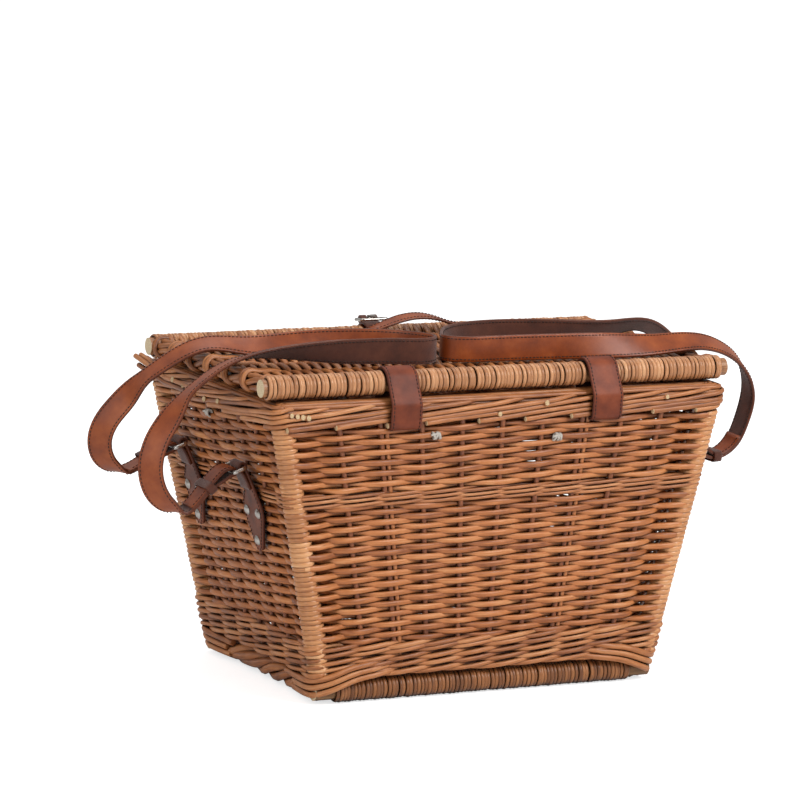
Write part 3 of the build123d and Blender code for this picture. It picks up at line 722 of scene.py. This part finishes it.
def stick_windings(rods, level, y, reach_x, skip, radius=1.9):
    """Close coils round an outer stick, in groups with a small dark gap after each."""
    x = -reach_x + radius
    left = dice.integers(*coils_in_group)
    reach = outer_stick_radius + radius * 0.95
    turn = np.linspace(0, tau, 25)
    while x < reach_x - radius:
        size = radius * dice.uniform(0.85, 1.12)
        if not any(abs(x - place) < half for place, half in skip):
            lean = dice.uniform(-0.9, 0.9)
            high = reach + dice.uniform(-0.25, 0.35)
            path = xyz(x + lean * np.cos(turn + dice.uniform(-0.5, 0.5)), y + high * np.cos(turn),
                       level + high * np.sin(turn))
            rods.rod(path, size * 1.12, (1, 0, 0), squeeze=0.62)
        left -= 1
        x += size * 2 * 0.97
        if left == 0:
            x += dice.uniform(0.7, 1.5)
            left = dice.integers(*coils_in_group)


def end_plait(rods, x, level, half, radius, rod, turns, cut=True):
    """Bundled rods along the end of a mat, twisted together like a rope."""
    strands = 5
    y = np.linspace(-half, half, 90)
    for strand in range(strands):
        angle = tau * (strand / strands + y / (2 * half) * turns) + wander(0.25, 40, 200)(y)
        reach = (radius - rod) * (1 + 0.08 * np.sin(y / 17 + strand))
        path = xyz(x + reach * np.cos(angle), y, level + reach * np.sin(angle))
        rods.rod(path, rod * dice.uniform(0.92, 1.08), cut=(cut, cut))


def corner_wraps(rods, side):
    """Rods that leave the end rope, bend round the end of a floor stick and climb into the foot wale."""
    routes = (((-3, 70, 7.5), (0.5, 100, 8), (-1, 118, 10), (-12, 127, 15), (-36, 129, 23.5),
               (-58, 128.5, 27), (-74, 124, 29)),
              ((-1, 74, 14), (2.5, 102, 15), (1, 119, 17), (-9, 127.5, 21), (-34, 129.5, 29),
               (-54, 128.5, 32), (-70, 124, 34)),
              ((0, 60, 20.5), (4, 96, 21.5), (2.5, 119, 23.5), (-7, 127.5, 26.5), (-30, 129.5, 34),
               (-50, 128.5, 37), (-64, 124, 39)))
    for end in (-1, 1):
        for route in routes:
            path = smooth_line((np.array(route) + (foot_length / 2, 0, 0)) * (side, end, 1), 3.0)
            rods.rod(path, np.linspace(3.5, 2.6, len(path)) * dice.uniform(0.94, 1.06))


def end_loops(rods, side, x, level, stick_y, radius, rod):
    """Rods that loop over the end bundle beside each inner stick and turn back into the mat."""
    spacing = 2 * stick_y / (inner_sticks + 1)
    turn = np.linspace(-0.62 * pi, 0.62 * pi, 26)
    reach = radius + rod * 0.75
    for index in range(inner_sticks + 2):
        y = (index - (inner_sticks + 1) / 2) * spacing
        for strand, offset in enumerate((-2.4, 2.2)):
            nose = xyz(side * (x + reach * np.cos(turn)), y + offset + (2.5 + strand) * np.sin(turn),
                       level + reach * 0.92 * np.sin(turn))
            first = nose[0] + np.array((-side * 26, -6, 3.0))
            last = nose[-1] + np.array((-side * 30, 6, -4.0))
            path = np.vstack((first, (first + nose[0]) / 2 + (0, 0, -0.8), nose,
                              (last + nose[-1]) / 2 + (0, 0, 0.8), last))
            rods.rod(smooth_line(path, 3.0), rod * dice.uniform(0.9, 1.05), (0, 1, 0))


def sample_spline(points, step, *values):
    """A natural cubic spline sampled about every step millimetres, with values carried to the samples."""
    knots = distances(points)
    count = len(knots)
    gaps = np.diff(knots)
    system = np.eye(count)
    for row in range(1, count - 1):
        system[row, row - 1:row + 2] = gaps[row - 1], 2 * (gaps[row - 1] + gaps[row]), gaps[row]
    right = np.zeros((count, 3))
    right[1:-1] = 6 * np.diff(np.diff(points, axis=0) / gaps[:, None], axis=0)
    bend = np.linalg.solve(system, right)
    places = np.linspace(0, knots[-1], max(3, round(knots[-1] / step)))
    index = np.clip(np.searchsorted(knots, places, side="right") - 1, 0, count - 2)
    gap = gaps[index][:, None]
    first = (knots[index + 1] - places)[:, None]
    second = (places - knots[index])[:, None]
    line = (bend[index] * first ** 3 + bend[index + 1] * second ** 3) / (6 * gap)
    line += (points[index] / gap - bend[index] * gap / 6) * first
    line += (points[index + 1] / gap - bend[index + 1] * gap / 6) * second
    return (line, *[np.interp(places, knots, value) for value in values])


def smooth_line(points, step):
    return sample_spline(np.asarray(points, float), step)[0]


def mat_pieces():
    """The rods of the lid and of the floor."""
    hinges = [(x, hinge_width / 2) for x in (-hinge_x, hinge_x)]
    closing = [(closing_x, closing_width / 2)]
    gaps = [(x, half + 3, end) for straps, end in ((hinges, -1), (closing, 1)) for x, half in straps]
    woven("lid_weavers", lid_willow, ("lid_weave",),
          (mat_weavers, lid_level, lid_stick_y, lid_border_x - 6, gaps), body="lid")
    for name, y, straps in (("front", -lid_stick_y, hinges), ("back", lid_stick_y, closing)):
        skip = [(x, half + strap_clearance) for x, half in straps]
        woven(f"lid_windings_{name}", lid_wrap, (f"lid_binding_{name}",),
              (stick_windings, lid_level, y, lid_binding_x, skip), body="lid", slot="willow_binding")
    for name, side in both_ends:
        woven(f"lid_end_plait_{name}", lid_willow, (f"lid_border_{name}",),
              (end_plait, side * lid_border_x, lid_level, lid_stick_y - 10, *lid_plait),
              (end_loops, side, lid_border_x, lid_level, lid_stick_y - 6, *lid_end_loop), body="lid")
    woven("floor_weavers", floor_willow, ("floor_weave",),
          (mat_weavers, floor_level, floor_stick_y, floor_border_x - 6, []))
    for name, y in (("front", -floor_stick_y), ("back", floor_stick_y)):
        woven(f"floor_windings_{name}", floor_wrap, (f"floor_binding_{name}",),
              (stick_windings, floor_level, y, floor_binding_x, [], floor_coil), slot="willow_binding")
    for name, side in both_ends:
        woven(f"floor_end_rope_{name}", wale_willow, (f"floor_border_{name}",),
              (end_plait, side * floor_border_x, floor_level, floor_stick_y - 2, *floor_plait, False),
              (corner_wraps, side))


# Leather

def both_halves(half):
    """Points of half an outline, then the same points mirrored, in order."""
    return half + [(-across, up) for across, up in reversed(half)]


# Across a strip, as shares of half its width and of its thickness; the flesh side is the flat of its back
strip_section = np.array(both_halves([(-0.97, 0.36), (-0.9, 0.47), (-0.62, 0.5), (-0.2, 0.52)])
                         + both_halves([(1.0, 0.0), (0.97, -0.38), (0.9, -0.48), (0.4, -0.5)]))
flesh_columns = range(9, 14)


def leather_strip(mesh, path, across, width, thickness, closed=False):
    """A leather strip along a path: smooth face, rounded edges and flesh side."""
    rows = len(path)
    width = for_rows(width, rows)
    ahead = unit(np.gradient(path, axis=0))
    if closed:
        ahead[0] = ahead[-1] = unit(path[1] - path[-2])
    across = square_off(across, ahead)
    face = np.cross(ahead, across)
    count = len(strip_section)
    wide = strip_section[:, 0] * width[:, None] / 2
    high = strip_section[:, 1] * thickness
    points = path[:, None] + across[:, None] * wide[..., None] + face[:, None] * high[:, None]
    grain = xyz(distances(path)[:, None], wide, high).reshape(-1, 3) + dice.uniform(0, 90, 3)
    faces = [(quad[0], *quad[:0:-1]) for quad in tube_faces(rows, count)]
    kinds = [int(column in flesh_columns) for row in range(rows - 1) for column in range(count)]
    smooth = [True] * len(faces)
    if not closed:
        faces += [tuple(range(count)), tuple((rows - 1) * count + index for index in reversed(range(count)))]
        kinds += [0, 0]
        smooth += [False, False]
    tone = np.tile(np.abs(strip_section[:, 0]), rows)
    mesh.add(points.reshape(-1, 3), grain, tone, faces, kinds, smooth)
    return ahead, across, face


def stitch_line(mesh, path, ahead, across, face, half, lift):
    """Short thread stitches set along a strip at one distance across it."""
    line = path + across * half[:, None] + face * lift
    along = distances(line)
    bow = np.array(((-0.5, -0.55), (-0.32, 0.2), (0, 0.42), (0.32, 0.2), (0.5, -0.55)))
    for place in np.arange(thread_pitch, along[-1] - thread_pitch, thread_pitch):
        spot = [np.interp(place, along, line[:, axis]) for axis in range(3)]
        index = min(np.searchsorted(along, place), len(path) - 1)
        way, up = ahead[index], face[index] * (1 if lift > 0 else -1)
        stitch = np.array(spot) + way * (bow[:, :1] * thread_length) + up * (bow[:, 1:] * thread_width)
        mesh.rod(stitch, thread_width * np.array((0.7, 1, 1.1, 1, 0.7)), across[index], sides=6, kind=2)


def sewn_strip(mesh, path, across, width, thickness, closed=False, back_stitches=False):
    """A leather strip with a row of stitches near each edge."""
    ahead, across, face = leather_strip(mesh, path, across, width, thickness, closed)
    half = for_rows(width, len(path)) / 2 - thread_inset
    for side in (-1, 1):
        for faced in (1, -1) if back_stitches else (1,):
            stitch_line(mesh, path, ahead, across, face, side * half, faced * thickness / 2)


def tanned(mesh, name, body, face, node_name):
    """Build a leather piece with its face, flesh side and thread."""
    return mesh.build(name, body, "leather", (face, flesh_side, sewing_thread), node_name)


def ring_in_x(x, y, z, radius, start, count):
    """A closed ring of points at one X."""
    turn = np.linspace(start, start + tau, count)
    return xyz(x, y + radius * np.cos(turn), z + radius * np.sin(turn))


def belt(circles, step):
    """A tight closed belt in Y and Z round circles, each a centre and a radius."""
    arc = np.linspace(0, tau, 181)
    rims = np.vstack([xyz(y + radius * np.cos(arc), z + radius * np.sin(arc)) for y, z, radius in circles])
    points = []
    for turn in np.linspace(0, tau, 241)[:-1]:
        point = rims[np.argmax(rims @ np.array((cos(turn), sin(turn))))]
        if not points or np.linalg.norm(point - points[-1]) > 0.05:
            points.append(point)
    line = np.array(points + [points[0]])
    along = distances(line)
    places = np.linspace(0, along[-1], round(along[-1] / step))
    return [np.interp(places, along, line[:, axis]) for axis in range(2)]


def hinge_loops():
    """Leather loops round the lid's front stick and the rim."""
    grow = strap_clearance + hinge_leather / 2
    low = rim_bottom - 0.5
    circles = [(-lid_stick_y, lid_level, binding_radius + grow)]
    for stand, around_edge in ((rim_stand - rim_round, grow - 0.5), (rim_round - rim_inside, grow)):
        circles += [(-(half_depth(low) + stand), low + rim_round, rim_round + around_edge),
                    (-(half_depth(rim_height) + stand), rim_height - rim_round, rim_round + around_edge)]
    y, z = belt(circles, 2.0)
    for name, x in (("left", -hinge_x), ("right", hinge_x)):
        mesh = Mesh()
        sewn_strip(mesh, xyz(x, y, z), (1, 0, 0), hinge_width, hinge_leather, closed=True)
        tanned(mesh, f"leather_hinge_{name}", "basket", hinge_leather_face, f"hinge_loop_{name}")


def tab_frame(side, y):
    """Origin at a tab's tip, and the directions up the end wall and out of it."""
    out = unit((side, 0, -short_lean))
    up = unit((side * short_lean, 0, 1))
    origin = np.array((side * half_length(tab_level), y, tab_level)) + out * tab_stand
    return origin, up, out


def strap_tabs():
    """Riveted kite-shaped tabs whose tops fold round the rings."""
    fold = ring_wire + ring_clearance + tab_leather * 0.42
    flat = [(station, tab_leather / 2)
            for station in (*np.linspace(0.3, tab_tip, 12), *np.linspace(tab_tip + 3, 56, 16))]
    rise = [(62, 2.6), (68, 3.9), (74, 5.2)]
    eye = [(tab_length + fold * sin(turn), eye_stand - fold * cos(turn))
           for turn in np.linspace(-0.25 * pi, 1.15 * pi, 18)]
    back = [(74, 8.7), (68, 6.9), (63, 5.8), (60, 5.3)]
    profile = np.array(flat + rise + eye + back)
    stations = profile[:, 0].copy()
    stations[len(flat + rise):] = tab_length
    rounded = 2 * np.sqrt(np.clip(tab_tip ** 2 - (tab_tip - stations) ** 2, 1, None))
    kite = np.interp(stations, (tab_tip, 34, 44, 58, tab_length), (21, 40, 39, 22, 20))
    width = np.where(stations < tab_tip, rounded, kite)
    for side_name, side in both_ends:
        for end, end_name in ((-1, "front"), (1, "back")):
            origin, up, out = tab_frame(side, end * tab_y)
            path = origin + up * profile[:, :1] + out * profile[:, 1:]
            mesh = Mesh()
            sewn_strip(mesh, path, (0, -side, 0), width, tab_leather * 0.86)
            tanned(mesh, f"leather_tab_{side_name}_{end_name}", "basket", tab_leather_face,
                   f"strap_tab_{side_name}_{end_name}")


# Stations of the two straps, from the front ring over the lid to the back ring, each with its roll
tab_origin, tab_up, tab_out = tab_frame(-1, 0)
eye_middle = tab_origin + tab_up * tab_length + tab_out * eye_stand + ring_way * eye_reach
start_x, start_z = (eye_middle + ring_way * (ring_wire + 3))[[0, 2]]
lay = 310.5
left_stations = [
    (start_x, -tab_y, start_z, 0), (-257, -tab_y, 194, 0), (-280, -tab_y, 174, 0),
    (-303, -65, 181, 0), (-317, -63, 213, 0), (-307, -61, 244, -4), (-286, -59, 268, -8),
    (-254, -57, 293, -8), (-228, -56, 305.5, -10), (-200, -56, 310, -24), (-165, -59, 311, -45),
    (-125, -66, lay, -75), (-80, -75, lay, -90), (-46, -80, lay, -90), (-36, -69, lay, -90),
    (-41, -48, lay, -90), (-62, -26, lay, -95), (-100, -9, 310, -105), (-145, 3, 308, -125),
    (-190, 12, 307, -145), (-225, 18, 308.5, -160), (-262, 32, 288, -168), (-296, 46, 257, -174),
    (-316, 55, 222, -178), (-308, 61, 198, -180), (-284, 65, 187, -180), (-260, tab_y, 196, -180),
    (start_x, tab_y, start_z, -180)]
right_stations = [
    (-start_x, -tab_y, start_z, -180), (256, -tab_y, 197, -180), (276, -tab_y, 204, -178),
    (290, -66, 228, -170), (296, -66, 256, -160), (287, -69, 280, -150), (264, -75, 298, -150),
    (228, -84, 308.5, -148), (183, -90, 308.5, -138), (140, -92, 309.5, -115), (85, -90, lay, -92),
    (10, -85, lay, -90), (-18, -80, lay, -90), (-26, -70, lay, -90), (-21, -52, lay, -90),
    (-4, -24, lay, -90), (24, -3, lay, -88), (70, 5, lay, -85), (130, 2, 309.5, -70),
    (185, 8, 308.5, -50), (228, 20, 308.5, -32), (268, 38, 288, -20), (300, 51, 260, -10),
    (317, 59, 228, -4), (309, 63, 203, 0), (285, 65, 191, 0), (260, tab_y, 198, 0),
    (-start_x, tab_y, start_z, 0)]
# The left strap's bow beside the basket turns to the front and stands in, past this far from the middle
bow_turn = 45
bow_stand_in = 6.5
bow_from = 270
bow_over = 34


def strap_line(stations, front_turn):
    """A strap's centre line and its direction across; its bow turns to the front by some degrees."""
    table = np.array(stations, float)
    line, roll = sample_spline(table[:, :3], 4.0, table[:, 3])
    roll = np.radians(roll)
    share = ease((np.abs(line[:, 0]) - bow_from) / bow_over)
    turn = radians(front_turn) * share
    across = xyz(-np.cos(roll) * np.sin(turn), np.cos(roll) * np.cos(turn), np.sin(roll))
    line[:, 0] += front_turn / bow_turn * bow_stand_in * share
    return line, across


def folded_strap(mesh, stations, side, front_turn):
    """A long strap whose ends fold round the rings and are sewn back on themselves."""
    line, across = strap_line(stations, front_turn)
    ahead = unit(np.gradient(line, axis=0))
    across = square_off(across, ahead)
    face = np.cross(ahead, across)
    fold = ring_wire + ring_clearance + strap_leather / 2
    near = np.linalg.norm(line - line[0], axis=1)
    far = np.linalg.norm(line - line[-1], axis=1)
    spread = np.exp(-(np.minimum(near, far) / 16) ** 2) * (fold - 0.2)
    turn = np.linspace(0.1, 0.9, 7)[:, None] * pi
    first_half = np.arange(len(line)) < len(line) / 2
    folds = []
    for end, outward, inside in ((0, -ahead[0], (near < strap_tail) & first_half),
                                 (-1, ahead[-1], (far < strap_tail) & ~first_half)):
        lower = line[inside] - face[inside] * (strap_leather * 0.55 + spread[inside, None] * 0.9)
        hub = np.array((side * abs(eye_middle[0]), line[end][1], eye_middle[2]))
        bow = hub + fold * (face[end] * np.cos(turn) + outward * np.sin(turn))
        folds.append(((lower[::-1], across[inside][::-1]),
                      (bow if end else bow[::-1], np.tile(across[end], (len(bow), 1)))))
    main = line + face * spread[:, None]
    parts = [*folds[0], (main, across), *reversed(folds[1])]
    path, ways = (np.vstack(rows) for rows in zip(*parts))
    sewn_strip(mesh, path, ways, strap_width, strap_leather, back_stitches=True)
    return main, across, face


def keeper_loops(mesh, line, across, face):
    """Small sewn leather loops that hold the folded strap ends."""
    turn = np.linspace(0, tau, 49)[:, None]
    boxy = 0.32
    wide = np.sign(np.cos(turn)) * np.abs(np.cos(turn)) ** boxy * (strap_width / 2 + 1.6)
    high = np.sign(np.sin(turn)) * np.abs(np.sin(turn)) ** boxy * (strap_leather + 1.6)
    for index in (5, len(line) - 6):
        middle = line[index] - face[index] * strap_leather * 0.5
        way = unit(line[index + 1] - line[index - 1])
        path = middle + across[index] * wide + face[index] * high
        leather_strip(mesh, path, -way, keeper_width, keeper_leather, closed=True)


def straps():
    """The two carrying straps and their keepers, each piece with a mesh of its own and riding on its handle.
    """
    for name, stations, side, front_turn in (("left", left_stations, -1, bow_turn),
                                             ("right", right_stations, 1, 0)):
        body = f"{name}_handle"
        mesh = Mesh()
        line, across, face = folded_strap(mesh, stations, side, front_turn)
        strap = tanned(mesh, f"leather_strap_{name}", body, strap_leather_face, f"handle_strap_{name}")
        mesh = Mesh()
        keeper_loops(mesh, line, across, face)
        keeper = tanned(mesh, f"strap_keeper_loops_{name}", body, tab_leather_face, f"strap_keepers_{name}")
        for piece in (strap, keeper):
            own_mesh(piece)


def closing_strap():
    """The strap on the lid's back stick, its eye round the buckle and its loose end over the lid."""
    mesh = Mesh()
    around_stick = binding_radius + strap_clearance
    ring = ring_in_x(closing_x, lid_stick_y, lid_level, around_stick + closing_leather / 2, radians(65), 60)
    sewn_strip(mesh, ring, (-1, 0, 0), closing_width, closing_leather, closed=True)
    for x in (closing_x - 5.6, closing_x + 5.6):
        eye = ring_in_x(x, buckle_bar_y, buckle_bar_z, buckle_wire + closing_leather / 2, 0, 29)
        leather_strip(mesh, eye, (-1, 0, 0), 6.4, closing_leather, closed=True)
    tail_y = lid_stick_y - around_stick - closing_width / 2
    tail = np.array([(-16, tail_y + 3, 300, 0), (-6, tail_y, 304.2, 3), (14, tail_y, 310.3, 8),
                     (34, tail_y, 312.4, 8), (52, tail_y, 309.4, 4), (68, tail_y, 304.4, 0),
                     (84, tail_y, 301.4, 0)])
    line, roll = sample_spline(tail[:, :3], 3.0, np.radians(tail[:, 3]))
    across = xyz(0, np.cos(roll), np.sin(roll))
    tip = np.clip((np.linspace(0, 1, len(line)) - 0.9) / 0.1, 0, 0.98)
    width = closing_width * np.sqrt(np.clip(1 - tip ** 2, 0.05, 1))
    sewn_strip(mesh, line, across, width, closing_leather, back_stitches=True)
    tanned(mesh, "leather_closing_strap", "closing_strap", strap_leather_face, "closing_strap")


def catch_loop():
    """The riveted loop on the back wall that takes the closing strap."""
    out = unit((0, 1, -long_lean))
    up = unit((0, long_lean, 1))
    origin = np.array((closing_x, half_depth(catch_level), catch_level)) + out * tab_stand
    on_face = closing_leather / 2
    outline = both_halves([(-31, on_face), (-20, on_face), (-13, on_face), (-11.6, 2.2), (-11.2, 4.2),
                           (-10, 5.6), (-5, 5.75)])
    line = smooth_line([origin + np.array((place, 0, 0)) + out * stand for place, stand in outline], 1.5)
    mesh = Mesh()
    sewn_strip(mesh, line, -up, catch_width, closing_leather)
    tanned(mesh, "leather_catch_loop", "basket", tab_leather_face, "catch_loop")


def paper_ties():
    """Scraps of paper string knotted round single rods."""
    mesh = Mesh()
    angle = np.linspace(0, tau, 25)
    for wall, along, level in tie_places:
        square = (1, 0, 0) if wall == "front" else (0, 1, 0)
        for turn in range(3):
            offset = (turn - 1) * 2.6 + dice.uniform(-0.3, 0.3)
            slope = dice.uniform(-1.2, 1.2)
            reach = tie_reach + dice.uniform(-0.2, 0.3)
            path = on_wall(wall, along + offset + slope * np.sin(angle), level + reach * np.sin(angle),
                           1.2 - reach * 0.75 * np.cos(angle))
            mesh.rod(path, tie_string + 0.25 * np.sin(3 * angle), square, squeeze=0.6)
        loose = [on_wall(wall, along + a, level + 2.2 + 0.35 * a * dice.uniform(0.6, 1), -1.4)
                 for a in (-6.0, -3.0, 0.0)]
        mesh.rod(smooth_line(loose, 1.0), 1.0, squeeze=0.6)
    mesh.build("paper_string_ties", "basket", "paper", (paper_string, paper_string), "paper_ties")


wall_pieces()
mat_pieces()
hinge_loops()
strap_tabs()
straps()
closing_strap()
catch_loop()
paper_ties()


# Finishes of the CAD parts that stay

def dress(material, *names):
    """Give CAD nodes a material."""
    for name in names:
        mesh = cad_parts[name].data
        mesh.materials.clear()
        mesh.materials.append(material)


dress(stake_willow, "stakes_front", "stakes_back", "stakes_left", "stakes_right",
      "corner_post_front_left", "corner_post_back_left", "corner_post_front_right", "corner_post_back_right")
dress(lid_stick_wood, "lid_stick_front", "lid_stick_back")
dress(floor_stick_wood, "floor_stick_front", "floor_stick_back")
dress(inner_willow, "lid_sticks_inner", "floor_sticks_inner")
dress(plated, "tab_rivets", "catch_rivets", "rivet_washers", "strap_rings_left", "strap_rings_right",
      "buckle_frame", "buckle_prong")


# Stage, light and camera

def stage():
    """A pale floor, a white surround for the camera, and soft lamps."""
    floor = bpy.data.meshes.new("floor")
    size = 12
    corners_round = [(-size, -size, 0), (size, -size, 0), (size, size, 0), (-size, size, 0)]
    floor.from_pydata(corners_round, [], [(0, 1, 2, 3)])
    ground = scene_object("floor", floor)
    material, tree, shader = new_material("pale floor")
    shader.inputs["Base Color"].default_value = (0.86, 0.86, 0.86, 1)
    shader.inputs["Roughness"].default_value = 0.9
    path = node(tree, "ShaderNodeLightPath")
    glow = node(tree, "ShaderNodeEmission", Color=(1, 1, 1, 1), Strength=0.7)
    both = node(tree, "ShaderNodeAddShader", i0=shader.outputs[0], i1=glow.outputs[0])
    chosen = node(tree, "ShaderNodeMixShader", Fac=path.outputs["Is Camera Ray"], i1=shader.outputs[0],
                  i2=both.outputs[0])
    tree.links.new(chosen.outputs[0], tree.nodes["Material Output"].inputs["Surface"])
    floor.materials.append(material)

    world = bpy.data.worlds.new("surround")
    bpy.context.scene.world = world
    world.use_nodes = True
    tree = world.node_tree
    tree.nodes.clear()
    path = node(tree, "ShaderNodeLightPath")
    seen = math(tree, "MAXIMUM", path.outputs["Is Camera Ray"], path.outputs["Is Transmission Ray"])
    soft = node(tree, "ShaderNodeBackground", Color=(1, 1, 1, 1), Strength=0.44)
    white = node(tree, "ShaderNodeBackground", Color=(1, 1, 1, 1), Strength=1.0)
    chosen = node(tree, "ShaderNodeMixShader", Fac=seen, i1=soft.outputs[0], i2=white.outputs[0])
    out = node(tree, "ShaderNodeOutputWorld")
    tree.links.new(chosen.outputs[0], out.inputs["Surface"])

    for name, place, size, power in (("key", (1.1, -1.9, 1.9), 1.2, 42), ("fill", (-2.2, -1.2, 1.2), 1.6, 12),
                                     ("top", (0.0, 0.5, 2.4), 1.6, 16)):
        lamp = bpy.data.lights.new(name, "AREA")
        lamp.energy = power
        lamp.size = size
        holder = scene_object(name, lamp)
        holder.location = place
        aim = Vector((0, 0, 0.15)) - holder.location
        holder.rotation_euler = aim.to_track_quat("-Z", "Y").to_euler()


def camera():
    """The photograph's viewpoint, from the places of the object's corners in it."""
    azimuth = radians(26.48)
    down = radians(9.37)
    roll = radians(1.77)
    place = Vector((-1.97732, -3.89905, 0.97047))
    forward = Vector((sin(azimuth) * cos(down), cos(azimuth) * cos(down), -sin(down)))
    right = forward.cross(Vector((0, 0, 1))).normalized()
    up = right.cross(forward)
    rolled_right = right * cos(roll) + up * sin(roll)
    rolled_up = up * cos(roll) - right * sin(roll)
    data = bpy.data.cameras.new("camera")
    data.sensor_fit = "HORIZONTAL"
    data.sensor_width = 36
    data.lens = 216.15
    data.clip_end = 100
    holder = scene_object("camera", data)
    turn = Matrix((rolled_right, rolled_up, -forward)).transposed().to_4x4()
    holder.matrix_world = Matrix.Translation(place) @ turn
    bpy.context.scene.camera = holder


stage()
camera()
bpy.context.scene.view_settings.view_transform = "Standard"
